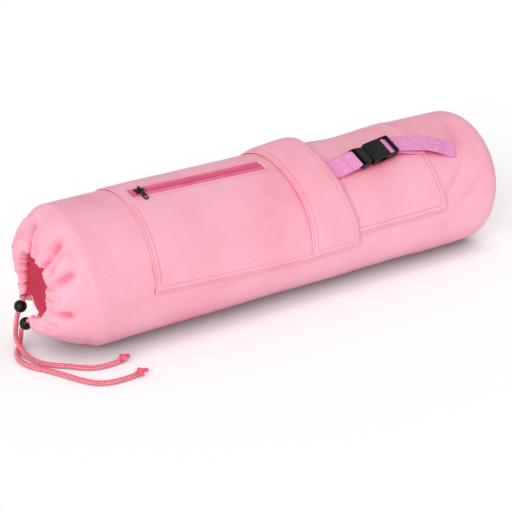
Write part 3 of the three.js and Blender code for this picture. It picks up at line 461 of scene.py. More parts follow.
def tube(line, radius, sides, relief):
    """Points, faces and rings of an open tube along a line."""
    _, side, other = frames_along(line)
    turn = np.arange(sides) * 2 * math.pi / sides
    r = radius + relief(run_along(line)[:, None], turn[None, :])
    rings = (
        line[:, None]
        + side[:, None] * (r * np.cos(turn))[..., None]
        + other[:, None] * (r * np.sin(turn))[..., None]
    )
    points = rings.transpose(1, 0, 2).reshape(-1, 3)
    faces = grid_faces(sides, len(line), wrap=True)
    return points, faces, rings


def join_meshes(parts):
    points, faces, total = [], [], 0
    for p, f in parts:
        points.append(np.asarray(p).reshape(-1, 3))
        faces.append(np.asarray(f) + total)
        total += len(points[-1])
    return np.vstack(points), np.vstack(faces)


def cap_tube(points, faces, rings):
    """Closes a tube's two ends with small cones, as quads that share a middle point."""
    sides, rows = rings.shape[1], rings.shape[0]
    middle = [rings[0].mean(0), rings[-1].mean(0)]
    points = np.vstack([points, middle])
    extra = []
    for end, (row, centre) in enumerate(((0, len(points) - 2), (rows - 1, len(points) - 1))):
        for i in range(0, sides, 2):
            a, b, c = (i * rows + row, (i + 1) % sides * rows + row, (i + 2) % sides * rows + row)
            extra.append([centre, c, b, a] if end == 0 else [centre, a, b, c])
    return points, np.vstack([faces, np.array(extra)])


# Materials


class Paint:
    """A node material built a node at a time."""

    def __init__(self, name, colour, roughness, **sockets):
        self.material = bpy.data.materials.new(name)
        self.material.use_nodes = True
        self.tree = self.material.node_tree
        self.shader = self.tree.nodes["Principled BSDF"]
        self.colour = tuple(linear(c) for c in colour) + (1.0,)
        self.shader.inputs["Base Color"].default_value = self.colour
        self.shader.inputs["Roughness"].default_value = roughness
        self.material.diffuse_color = self.colour
        for key, value in sockets.items():
            self.shader.inputs[key.replace("_", " ")].default_value = value

    def node(self, kind, operation=None, **values):
        node = self.tree.nodes.new("ShaderNode" + kind)
        if operation:
            node.operation = operation
        for key, value in values.items():
            by_number = key[0] == "i" and key[1:].isdigit()
            target = node.inputs[int(key[1:]) if by_number else key.replace("_", " ")]
            if isinstance(value, bpy.types.NodeSocket):
                self.tree.links.new(value, target)
            else:
                target.default_value = value
        return node

    def math(self, operation, a, b=0.0, c=0.0):
        return self.node("Math", operation, i0=a, i1=b, i2=c).outputs[0]

    def places(self, kind="Object"):
        return self.tree.nodes.new("ShaderNodeTexCoord").outputs[kind]

    def noise(self, scale, detail=3.0, roughness=0.55):
        node = self.node("TexNoise", Scale=scale, Detail=detail, Roughness=roughness)
        self.tree.links.new(self.places(), node.inputs["Vector"])
        return node.outputs["Fac"]

    def waves(self, where, along_x, along_y, shift=0.0):
        parts = self.node("SeparateXYZ", Vector=where)
        total = self.math("MULTIPLY_ADD", parts.outputs[0], along_x, shift)
        total = self.math("MULTIPLY_ADD", parts.outputs[1], along_y, total)
        return self.math("SINE", total)

    def ramp(self, factor, stops):
        node = self.node("ValToRGB", Fac=factor)
        ramp = node.color_ramp
        while len(ramp.elements) < len(stops):
            ramp.elements.new(0.5)
        for element, (at, colour) in zip(ramp.elements, stops):
            element.position = at
            element.color = tuple(linear(c) for c in colour) + (1.0,)
        return node.outputs["Color"]

    def colour_from(self, socket):
        self.tree.links.new(socket, self.shader.inputs["Base Color"])

    def bump(self, height, distance, strength=1.0, before=None):
        node = self.node("Bump", Strength=strength, Distance=distance, Height=height)
        if before is not None:
            self.tree.links.new(before, node.inputs["Normal"])
        self.tree.links.new(node.outputs[0], self.shader.inputs["Normal"])
        return node.outputs[0]


def linear(c):
    c = c / 255
    return c / 12.92 if c <= 0.04045 else ((c + 0.055) / 1.055) ** 2.4


def woven(name, colour, pale, deep, shade, pitch=1.9, depth=0.00018, **sockets):
    """Twill cloth: slanting ribs, fine fuzz, slow colour drift and painted shade, a deeper, redder tone
    where ambient occlusion finds folds, seams and panel edges close by.
    """
    paint = Paint(name, colour, 0.66, Sheen_Weight=0.08, Specular_IOR_Level=0.3, **sockets)
    where = paint.places("UV")
    rib = 2 * math.pi / pitch
    twill = paint.waves(where, rib * 0.86, rib * 0.5)
    yarn = paint.waves(where, rib * 1.9, -rib * 3.1)
    weave = paint.math("MULTIPLY_ADD", yarn, 0.35, twill)
    drift = paint.noise(9.0, 4.0)
    blend = paint.math("MULTIPLY_ADD", weave, 0.05, drift)
    # Painted shade: ambient occlusion lowers the ramp's input, so folds, seams and gaps take the deep and
    # shade colours; the slow drift alone also reaches the deep colour.
    near = paint.node("AmbientOcclusion", Distance=0.012).outputs["AO"]
    tone = paint.math("SUBTRACT", paint.math("MULTIPLY_ADD", near, 0.7, blend), 0.7)
    paint.colour_from(paint.ramp(tone, [(0.0, shade), (0.34, deep), (0.5, colour), (0.72, pale)]))
    soft = paint.bump(paint.noise(60.0, 4.0), 0.0018, 0.4)
    paint.bump(weave, depth, 0.7, before=soft)
    return paint.material


def sewing_thread():
    paint = Paint("stitch_pink", (236, 146, 172), 0.55)
    fuzz = paint.noise(900.0, 2.0)
    paint.colour_from(paint.ramp(fuzz, [(0.3, (220, 122, 152)), (0.7, (244, 160, 184))]))
    paint.bump(fuzz, 0.0002, 0.6)
    return paint.material


def ribbed_webbing():
    paint = Paint("webbing_lilac", (240, 148, 200), 0.5, Sheen_Weight=0.15)
    where = paint.places("UV")
    ribs = paint.waves(where, 2 * math.pi / 2.2, 0.0)
    rows = paint.waves(where, 0.0, 2 * math.pi / 2.6)
    plait = paint.math("MULTIPLY", rows, ribs)
    flecks = paint.math("MULTIPLY_ADD", plait, 0.14, paint.noise(420.0, 2.0))
    tone = paint.math("MULTIPLY_ADD", flecks, 0.7, paint.math("MULTIPLY", paint.noise(25.0, 3.0), 0.3))
    stops = [(0.3, (220, 118, 184)), (0.5, (238, 146, 200)), (0.72, (250, 172, 212))]
    paint.colour_from(paint.ramp(tone, stops))
    paint.bump(plait, 0.0003, 0.8)
    return paint.material


def zip_fabric():
    paint = Paint("zip_rose", (244, 106, 148), 0.6, Sheen_Weight=0.1)
    where = paint.places("UV")
    ribs = paint.waves(where, 2 * math.pi / 0.9, 0.0)
    rows = paint.waves(where, 0.0, 2 * math.pi / 1.4)
    plait = paint.math("MULTIPLY_ADD", rows, 0.7, ribs)
    tone = paint.math("MULTIPLY_ADD", plait, 0.08, paint.noise(40.0))
    stops = [(0.3, (232, 84, 130)), (0.55, (246, 112, 152)), (0.8, (252, 136, 172))]
    paint.colour_from(paint.ramp(tone, stops))
    paint.bump(plait, 0.0002, 0.7)
    return paint.material


def moulded(name, colour, edge, roughness, **sockets):
    """Moulded plastic or enamel: fine grain, a little scuffing and edges rubbed paler."""
    paint = Paint(name, colour, roughness, **sockets)
    grain = paint.noise(1500.0, 2.0)
    scuff = paint.noise(120.0, 5.0, 0.7)
    worn = paint.node("NewGeometry").outputs["Pointiness"]
    rub = paint.math("MULTIPLY_ADD", scuff, 0.12, worn)
    paint.colour_from(paint.ramp(rub, [(0.6, colour), (0.75, edge)]))
    rough = paint.math("MULTIPLY_ADD", scuff, 0.25, roughness - 0.12)
    paint.tree.links.new(rough, paint.shader.inputs["Roughness"])
    paint.bump(grain, 0.00006, 0.5)
    return paint.material


def braid_finish():
    """The cord's strands, with pale flecks where one crosses another."""
    paint = Paint("braid_rose", (246, 84, 130), 0.55, Sheen_Weight=0.2)
    where = paint.places("UV")
    right = paint.waves(where, 2 * math.pi * STRANDS / LAY, STRANDS / CORD_RADIUS)
    left = paint.waves(where, 2 * math.pi * STRANDS / LAY, -STRANDS / CORD_RADIUS, 0.6)
    cross = paint.math("MULTIPLY", right, left)
    fuzz = paint.noise(900.0, 3.0)
    tone = paint.math("MULTIPLY_ADD", cross, 0.5, fuzz)
    stops = [(0.22, (200, 18, 60)), (0.5, (240, 50, 98)), (0.7, (255, 186, 200))]
    paint.colour_from(paint.ramp(tone, stops))
    paint.bump(fuzz, 0.0003, 0.6)
    return paint.material


# The last colour given to each cloth is the painted shade that its folds, seams and gaps take.
cloth_finish = woven("cloth_pink", (252, 178, 196), (254, 186, 203), (250, 168, 187), (236, 92, 126))
# Painted shade and painted glow: the inside is the same pink cloth, given a dark red for the shade and pink
# light bounced round inside the bag, and an emission for light coming through the cloth.
inside_painted_shade_glow = woven("cloth_inside_painted_shade_glow", (222, 66, 96), (232, 84, 112), (208, 50, 80), (180, 26, 50),
                      Emission_Color=(0.5, 0.11, 0.2, 1.0), Emission_Strength=0.4)
stitch_finish = sewing_thread()
webbing_finish = ribbed_webbing()
zip_finish = zip_fabric()
coil_finish = moulded("coil_rose", (236, 92, 138), (250, 150, 180), 0.35)
metal_finish = moulded("enamel_dark", (52, 46, 48), (120, 112, 114), 0.3, Metallic=0.75)
plastic_finish = moulded("plastic_black", (13, 11, 10), (44, 40, 38), 0.34, Specular_IOR_Level=0.28)
cord_finish = braid_finish()


def dress(obj, finish, slot, *nodes, body="root"):
    obj.data.materials.clear()
    obj.data.materials.append(finish)
    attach(obj, body)
    if nodes:
        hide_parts(*nodes)
    return obj


# Camera


EYE = np.array([-1065.7, -1522.9, 846.9])
AHEAD = np.array([0.52299, 0.75371, -0.39801])
ACROSS = np.array([0.82158, -0.57009, 0.0])
FOCAL_PIXELS = 1587.7
PICTURE_PIXELS = 512
SENSOR = 36


def make_camera():
    data = bpy.data.cameras.new("camera")
    data.sensor_width = SENSOR
    data.lens = FOCAL_PIXELS * SENSOR / PICTURE_PIXELS
    data.clip_end = 20
    camera = bpy.data.objects.new("camera", data)
    ahead = unit(AHEAD)
    across = unit(ACROSS - ahead * (ACROSS @ ahead))
    above = np.cross(across, ahead)
    turn = Matrix([[across[i], above[i], -ahead[i]] for i in range(3)]).to_4x4()
    camera.matrix_world = Matrix.Translation(Vector((EYE + shift) / 1000)) @ turn
    bpy.context.scene.collection.objects.link(camera)
    bpy.context.scene.camera = camera


make_camera()


# Drawstring


FLOOR = 2.95
TAIL_A = [
    (-319.3, 35.82, 55.5), (-320.7, 34.75, 52.2), (-325, 34, 44), (-329.4, 33.3, 35.8),
    (-332.2, 32, 28.3), (-335.2, 28.7, 20.2), (-340, 20.5, 15.4), (-343, 12, 12.2),
    (-344, 3.5, 9.2), (-344, -5, 5.6), (-343, -14, FLOOR + 0.4), (-341.3, -27, FLOOR),
    (-336.5, -41, FLOOR), (-327, -53, FLOOR), (-316, -63, FLOOR), (-305, -75, FLOOR),
    (-293, -83.5, FLOOR), (-277, -87, FLOOR), (-262, -86.5, FLOOR + 0.2),
]
TAIL_B = [
    (-325, 3.8, 36.82), (-325.1, 6.3, 36.8), (-325.9, 11.3, 34.6), (-327, 18, 28.2),
    (-328.1, 24.7, 21.8), (-329, 27.3, 16.2), (-330.4, 26, 10.5), (-333.8, 22, 5),
    (-338.8, 15.5, FLOOR), (-345, 7.5, FLOOR), (-351, -2.5, FLOOR), (-354.7, -14, FLOOR),
    (-354.7, -27, FLOOR), (-350.5, -41, FLOOR), (-341, -58, FLOOR), (-330, -80, FLOOR),
    (-319.5, -103, FLOOR), (-308, -119, FLOOR), (-292, -126, FLOOR), (-275, -127, FLOOR),
    (-263, -126.5, FLOOR + 0.2),
]
BEADS = {"a": ((-325, 34, 44), (-0.47, -0.08, -0.88)), "b": ((-327, 18, 28.2), (-0.12, 0.72, -0.69))}
KNOTS = {"a": ((-256, -85, 5.7), (0.98, 0.2, 0)), "b": ((-257, -126.6, 5.7), (0.99, 0, 0))}


def braid_relief(run, turn):
    """Two sets of strands that pass over and under each other round the cord."""
    lay = 2 * math.pi * run / LAY
    right = np.cos(STRANDS * (turn + lay))
    left = np.cos(STRANDS * (turn - lay))
    return 0.42 * np.maximum(right, left) - 0.2


def braided(points, step=0.55, sides=32):
    line = spline(points, step)
    return line, tube(line, CORD_RADIUS, sides, braid_relief)


def braid_places(line, sides):
    """Texture places of a capped tube: run along it and arc round it, both in millimetres."""
    run = run_along(line)
    arc = np.arange(sides) * 2 * math.pi / sides * CORD_RADIUS
    grid = np.stack(np.meshgrid(arc, run, indexing="ij"), -1)[..., ::-1]
    return np.vstack([grid.reshape(-1, 2), [[0, 0], [run[-1], 0]]])


def place_on(points, at, along):
    """Turns a piece made along +Y to lie along a direction, with its middle at a place."""
    turn = Vector((0, 1, 0)).rotation_difference(Vector(along))
    return np.asarray(points) @ np.array(turn.to_matrix()).T + np.asarray(at)


def lathe(profile, count):
    """A closed ring profile (r, y) turned about +Y."""
    profile = np.asarray(profile, float)
    turn = np.arange(count) * 2 * math.pi / count
    points = np.stack([
        profile[None, :, 0] * np.cos(turn)[:, None],
        np.broadcast_to(profile[None, :, 1], (count, len(profile))),
        profile[None, :, 0] * np.sin(turn)[:, None],
    ], -1)
    i = np.arange(count)[:, None]
    j = np.arange(len(profile))[None, :]
    n, k, m = len(profile), (i + 1) % count, (j + 1) % len(profile)
    quads = np.stack([i * n + j, i * n + m, k * n + m, k * n + j], -1).reshape(-1, 4)
    return points.reshape(-1, 3), quads


def make_bead(key):
    at, along = BEADS[key]
    bore, radius = 3.2, 7.75
    start = math.asin(bore / radius)
    turn = np.linspace(start, math.pi - start, 30)
    profile = [(radius * math.sin(t), -radius * math.cos(t)) for t in turn]
    seam = [(r - 0.18 * math.exp(-(y / 0.35) ** 2), y) for r, y in profile]
    top = seam[-1][1]
    rim = [(bore, top - 0.5), (bore - 0.02, 0.0), (bore, 0.5 - top)]
    points, faces = lathe(seam + rim, 48)
    obj = mesh_piece("bead_" + key, place_on(points, at, along), faces)
    trim(obj)
    return dress(obj, plastic_finish, "bead_plastic", "cord_bead_" + key)


def make_knot(key):
    """An overhand knot, as a trefoil of cord with the cord's own run through it."""
    at, along = KNOTS[key]
    count, sides, size, radius = 160, 16, 1.12, 2.15
    t = np.linspace(0, 2 * math.pi, count, endpoint=False)
    line = np.stack([
        np.sin(t) + 2 * np.sin(2 * t), -np.sin(3 * t) * 1.3, np.cos(t) - 2 * np.cos(2 * t)
    ], -1) * size
    closed = np.vstack([line, line[:1]])
    _, side, other = frames_along(closed)
    turn = np.arange(sides) * 2 * math.pi / sides
    around = side[:, None] * np.cos(turn)[:, None] + other[:, None] * np.sin(turn)[:, None]
    rings = closed[:, None] + radius * around
    points = rings[:-1].transpose(1, 0, 2).reshape(-1, 3)
    i = np.arange(sides)[:, None]
    j = np.arange(count)[None, :]
    k, m = (i + 1) % sides, (j + 1) % count
    faces = np.stack([i * count + j, k * count + j, k * count + m, i * count + m], -1).reshape(-1, 4)
    stub_line = spline([(0, -6.2, 0), (0, 0, 0), (0.4, 5.5, 0.3), (0.6, 9.0, -0.4)], 0.6)
    stub = cap_tube(*tube(stub_line, 2.3, sides, braid_relief))
    points, faces = join_meshes([(points, faces), stub])
    points = place_on(points, at, along)
    points[:, 2] = np.maximum(points[:, 2], 0.15)
    obj = mesh_piece("knot_" + key, points, faces)
    trim(obj)
    return dress(obj, cord_finish, "cord", "cord_knot_" + key)


def make_tail(key, route):
    line, made = braided(route)
    points, faces = cap_tube(*made)
    points[:, 2] = np.maximum(points[:, 2], 0.1)
    obj = mesh_piece("tail_" + key, points, faces, uv=braid_places(line, made[2].shape[1]),
                     period=2 * math.pi * CORD_RADIUS)
    trim(obj)
    dress(obj, cord_finish, "cord", "drawstring_tail_" + key)
    pieces = [make_bead(key), make_knot(key)]
    return obj


make_tail("a", TAIL_A)
make_tail("b", TAIL_B)


# Cloth tube


def close_shell(outer, inner):
    """Joins an outer and an inner ring grid, whose columns go round, into one closed shell."""
    columns, rows = outer.shape[:2]
    under = columns * rows
    quads = [grid_faces(columns, rows, 0, True)[:, ::-1], grid_faces(columns, rows, under, True)]
    i = np.arange(columns)
    k = (i + 1) % columns
    for row, flip in ((0, False), (rows - 1, True)):
        a, b = i * rows + row, k * rows + row
        quad = np.stack([a, b, b + under, a + under], -1)
        quads.append(quad[:, ::-1] if flip else quad)
    return np.concatenate([outer.reshape(-1, 3), inner.reshape(-1, 3)]), np.concatenate(quads)


def tube_grid(inset, angles, dome_rows, wall_rows, end_rows):
    """The tube's surface from the mouth to the closed end's seam, by angle and then row."""
    a = angles[:, None]
    share = np.linspace(0, 1, dome_rows)[None, :]
    x1, r1 = dome(a, share, inset)
    r1 = r1 - cloth_relief(x1, a) * smooth(share, 0, 0.5) * (1 - open_edge(a))
    shoulder = SHOULDER_X + UNDER_REACH * underside(a)
    t = np.linspace(0, 1, wall_rows + 1)[None, 1:]
    straight = END_X - ROUND
    x2 = lerp(shoulder, straight, t)
    ease = 1 - smooth(x2, straight - 30, straight)
    r2 = RADIUS - inset - cloth_relief(x2, a) * lerp(0.35, 1, ease)
    sweep = np.linspace(0, 52, end_rows + 1)[None, 1:] * DEGREE
    bend = ROUND - inset
    x3 = straight + bend * np.sin(sweep) + 0 * a
    r3 = RADIUS - ROUND + bend * np.cos(sweep) - cloth_relief(x3, a) * 0.35
    x = np.concatenate([x1, x2, x3], 1)
    r = np.concatenate([r1, r2, r3], 1)
    points = turned(x, r, a + 0 * x)
    return settle(points, inset), x, r


def paint_inside_shade_glow(obj, columns, rows):
    """Gives the inner of a shell's two ring grids the painted shade and painted glow of the bag's inside:
    dim red light bounced round in it and coming through the cloth.
    """
    obj.data.materials.append(inside_painted_shade_glow)
    ring = columns * (rows - 1)
    slots = np.zeros(len(obj.data.polygons), int)
    slots[ring:2 * ring] = 1
    obj.data.polygons.foreach_set("material_index", slots)


def make_bag_tube():
    angles = np.linspace(0, 360, 300, endpoint=False) - 90
    rows = (64, 92, 8)
    outer, x, r = tube_grid(0.0, angles, *rows)
    inner, _, _ = tube_grid(CLOTH, angles, *rows)
    points, faces = close_shell(outer, inner)
    run = np.concatenate([np.zeros((len(angles), 1)),
                          np.cumsum(np.linalg.norm(np.diff(outer, axis=1), axis=2), axis=1)], 1)
    around = (angles[:, None] + 0 * x) * ARC
    uv = np.stack([run, around], -1).reshape(-1, 2)
    obj = mesh_piece("cloth_tube", points, faces, uv=np.vstack([uv, uv]), period=360 * ARC)
    trim(obj)
    dress(obj, cloth_finish, "cloth", "bag_tube", "mouth_gather")
    paint_inside_shade_glow(obj, *x.shape)
    return obj


def make_end():
    """The closed end's cloth, from the seam round the tube's rounded edge to its middle."""
    a = np.linspace(0, 360, 200, endpoint=False)[:, None]

    def profile(inset):
        sweep = np.linspace(52.8, 90, 10)[None, :] * DEGREE
        bend = ROUND - inset
        x = END_X - ROUND + bend * np.sin(sweep)
        r = RADIUS - ROUND + bend * np.cos(sweep)
        inner = np.linspace(0.97, 0.0, 34)[None, :]
        x = np.concatenate([x, END_X - inset + END_BULGE * (1 - inner ** 2)], 1) + 0 * a
        r = np.concatenate([r, (RADIUS - ROUND) * inner], 1) + 0 * a
        wave = 0.5 * np.sin(3 * a * DEGREE + r * 0.05) * smooth(r, 5, 40) * (1 - smooth(r, 60, 76))
        return settle(turned(x + wave, r, a + 0 * x), inset), x, r

    outer, x, r = profile(0.0)
    inner, _, _ = profile(CLOTH)
    points, faces = close_shell(outer, inner)
    uv = np.stack([outer[..., 1], outer[..., 2]], -1).reshape(-1, 2)
    obj = mesh_piece("end_cloth", points, faces, uv=np.vstack([uv, uv]))
    trim(obj)
    dress(obj, cloth_finish, "cloth", "end_panel")
    paint_inside_shade_glow(obj, *x.shape)
    return obj


make_bag_tube()
make_end()


# Gathered hem


def hem_depth(angle):
    """The hem is fuller at the back of the mouth."""
    return HEM_DEPTH / 2 + 3.6 * bell(apart(angle, 152), 40)


def toward_lip(turn):
    return smooth(-np.cos(turn), -0.6, 0.9)


def rounded(value, power):
    return np.sign(value) * np.abs(value) ** power


def hem_points(angle, turn, inset):
    """A cut through the hem: flush with the dome at its seam, round and puckered at the lip."""
    slope = hem_slope(angle)
    wide_x, wide_r = np.cos(slope), np.sin(slope)
    deep_x, deep_r = np.sin(slope), -np.cos(slope)
    wave = np.cos(angle * DEGREE * 19 + 0.8 * np.sin(angle * DEGREE * 3))
    fine = np.cos(angle * DEGREE * 43 + 2.0 * np.sin(angle * DEGREE * 4))
    pucker = (1.2 * wave + 0.6 * fine) * toward_lip(turn) * hemmed(angle)
    power = np.where(np.cos(turn) > 0, 0.45, 0.8)
    deep = hem_depth(angle)
    across = (HEM_WIDTH / 2 + 0.3 - inset) * rounded(np.cos(turn), power) - 1.3 * pucker
    across = across - 4.5 * bell(apart(angle, 140), 30) * toward_lip(turn)
    through = (deep + 0.25 - inset) * rounded(np.sin(turn), power) + 0.6 * pucker
    sunk = gather_depth(angle, 0.0) * lerp(1, 0.65, toward_lip(turn))
    middle_x = lip_x(angle) + wide_x * HEM_WIDTH / 2 + deep_x * deep
    middle_r = LIP_RADIUS + wide_r * HEM_WIDTH / 2 + deep_r * deep
    x = middle_x + wide_x * across + deep_x * through + sunk
    r = middle_r + wide_r * across + deep_r * through
    return x, r


def make_hem():
    """The folded channel, open at its two ends, with its own wall thickness."""
    angles = np.linspace(GAP_END - 360, GAP_START, 560)
    turns = 40
    a, t = angles[None, :], (np.arange(turns) * 2 * math.pi / turns)[:, None]
    grids = []
    for inset in (0.0, 1.4):
        x, r = hem_points(a, t, inset)
        grids.append(settle(turned(x, r, a + 0 * x), 0.0))
    points, faces = close_shell(*grids)
    width = np.concatenate([np.zeros((1, len(angles))),
                            np.cumsum(np.linalg.norm(np.diff(grids[0], axis=0), axis=2), axis=0)])
    around = a * (LIP_RADIUS + HEM_WIDTH / 2) * DEGREE + 0 * width
    uv = np.stack([width, around], -1).reshape(-1, 2)
    obj = mesh_piece("hem", points, faces, uv=np.vstack([uv, uv]))
    trim(obj)
    dress(obj, cloth_finish, "cloth", "mouth_hem")
    return obj


def make_loop():
    angles = np.linspace(GAP_END - 360, GAP_START, 180)
    slope = hem_slope(angles)
    x = lip_x(angles) + np.cos(slope) * HEM_WIDTH / 2 + np.sin(slope) * HEM_DEPTH / 2
    x = x + gather_depth(angles, 0.0) * 0.85
    r = LIP_RADIUS + np.sin(slope) * HEM_WIDTH / 2 - np.cos(slope) * HEM_DEPTH / 2
    line, made = braided(turned(x, r, angles), 1.0, 24)
    points, faces = cap_tube(*made)
    obj = mesh_piece("loop", points, faces, uv=braid_places(line, 24), period=2 * math.pi * CORD_RADIUS)
    trim(obj)
    return dress(obj, cord_finish, "cord", "drawstring_loop")


make_hem()
make_loop()


# Stitches


def stitch_run(line, normals):
    """Short rounded threads laid along a line on a surface."""
    pitch, length, radius, sink = 3.3, 2.5, 0.4, 0.22
    both = resample(np.hstack([line, normals]), pitch)
    middle = (both[:-1, :3] + both[1:, :3]) / 2
    along = unit(both[1:, :3] - both[:-1, :3])
    normal = unit((both[:-1, 3:] + both[1:, 3:]) / 2)
    side = np.cross(normal, along)
    stations = np.array([-0.5, -0.36, 0.0, 0.36, 0.5]) * length
    sizes = np.array([0.15, 0.85, 1.0, 0.85, 0.15]) * radius
    heights = np.array([-0.45, 0.0, 0.18, 0.0, -0.45]) * radius - sink
    sides = 6
    turn = np.arange(sides) * 2 * math.pi / sides
    rings = []
    for s, size, height in zip(stations, sizes, heights):
        centre = middle + along * s + normal * height
        around = side[:, None] * np.cos(turn)[:, None] + normal[:, None] * np.sin(turn)[:, None]
        rings.append(centre[:, None] + size * around)
    rings = np.stack(rings, 2)  # by stitch, side, station and axis
    per = sides * len(stations)
    faces = grid_faces(sides, len(stations), wrap=True)[:, ::-1]
    ends = []
    for row, flip in ((0, False), (len(stations) - 1, True)):
        loop = [i * len(stations) + row for i in range(sides)]
        quads = [loop[:4], [loop[3], loop[4], loop[5], loop[0]]]
        ends += [q[::-1] if flip else q for q in quads]
    faces = np.vstack([faces, ends])
    all_faces = faces[None] + per * np.arange(len(middle))[:, None, None]
    return rings.reshape(-1, 3), all_faces.reshape(-1, 4)


def stitches(name, runs, slot="cloth", finish=None):
    points, faces = join_meshes([stitch_run(*run) for run in runs])
    obj = mesh_piece(name, points, faces)
    return dress(obj, finish or stitch_finish, slot)


# Sewn panels


def edge_form(distance, thick, rows=SEAMS, dip=0.5):
    """Height of a sewn sheet near its edge: a folded round edge and a dip along each seam."""
    t = np.clip(distance / (thick * 1.1), 0, 1)
    height = thick * np.sqrt(np.clip(1 - (1 - t) ** 2, 0, 1))
    for at in rows:
        height = height - dip * bell(distance - at, 0.9)
    return np.maximum(height, 0.12)


def low_edge(distance, rise, run):
    """How far a panel's lower edge stands off the tube."""
    return rise * (1 - smooth(distance, 0, run))


def fine_steps(start, end, step=5.0, sides="both"):
    """Positions between two edges, closer together near them."""
    low = [start + n for n in EDGE_STEPS] if sides in ("both", "start") else [start]
    high = [end - n for n in EDGE_STEPS][::-1] if sides in ("both", "end") else [end]
    count = max(2, int((high[0] - low[-1]) / step) + 1)
    middle = np.linspace(low[-1], high[0], count)[1:-1]
    return np.array([*low, *middle, *high])


def open_right(angle):
    """The open pocket's right edge, which swings out low down."""
    return OPEN_RIGHT + OPEN_FLARE * (1 - smooth(angle, OPEN_LOW, 48))


def open_lift(x, angle):
    """How far the open pocket puffs out to the right of the band."""
    band_right = BAND_LEFT + BAND_WIDTH
    across = np.sin(math.pi * np.clip((x - band_right) / (open_right(angle) - band_right), 0, 1))
    around = np.sin(math.pi * np.clip((angle - OPEN_LOW) / OPEN_PUFF_SPREAD, 0, 1))
    return OPEN_PUFF * across * np.sqrt(np.maximum(0, around))


def band_edge(angle, side):
    """The band's left edge for side 0, its right edge for side 1: its free end leans and flares."""
    lean = BAND_LEAN * (1 - smooth(angle, BAND_LOW, 80))
    flare = BAND_FLARE * (1 - smooth(angle, BAND_LOW, 60))
    return BAND_LEFT + side * BAND_WIDTH + lean + side * flare


def band_lift(x, angle):
    """The band stands off the pockets like a shallow box, most of all over the bag's top."""
    left, right = band_edge(angle, 0), band_edge(angle, 1)
    across = np.clip((x - left) / (right - left), 0, 1)
    half = WEBBING_WIDTH / 2 / ARC
    off = np.abs(angle - STRAP_ANGLE)
    over = (1 - smooth(off, half + 4, half + 16)) * smooth(x, left + 4, STRAP_START - 6)
    flat = smooth(across, 0, 0.2) * (1 - smooth(across, 0.86, 1.08)) * smooth(angle, BAND_LOW - 1, 14)
    top = smooth(angle, 64, 98) * (1 - smooth(angle, 128, 164))
    lift = lerp(*BAND_STAND, smooth(across, 0, 0.3)) + open_lift(x, angle) + BAND_FLAT * flat
    return lift + BAND_OVER_STRAP * over + top * lerp(*BAND_TOP, across)


def window_top(x):
    """The angle of the zip window's upper edge."""
    return lerp(*WINDOW_TOP, (x - WINDOW_LEFT) / (WINDOW_RIGHT - WINDOW_LEFT))


def window_low(x):
    return window_top(x) - WINDOW_SPREAD


def zip_pocket_low(x):
    """The angle of the zip pocket's lower edge, which falls to the right."""
    return -5 - 9.5 * (x - ZIP_LEFT) / (ZIP_RIGHT - ZIP_LEFT)


def panel_piece(name, x, angle, base, height, node, cells=None):
    """A sewn sheet over a grid of places on the tube."""
    top = skin(x, angle, base + height)
    low = skin(x, angle, base + 0 * height)
    points, faces = sheet_solid(top, low, cells)
    points = settle(points, 0.0)
    uv = np.stack([x, angle * ARC], -1).reshape(-1, 2)
    obj = mesh_piece(name, points, faces, uv=np.vstack([uv, uv]))
    trim(obj)
    dress(obj, cloth_finish, "cloth", node)
    return obj


def line_on(x, angle, lift):
    """A line over the tube and the directions off it, for a run of stitches."""
    x, angle, lift = np.broadcast_arrays(*(np.asarray(v, float) for v in (x, angle, lift)))
    return skin(x, angle, lift), out_at(angle)


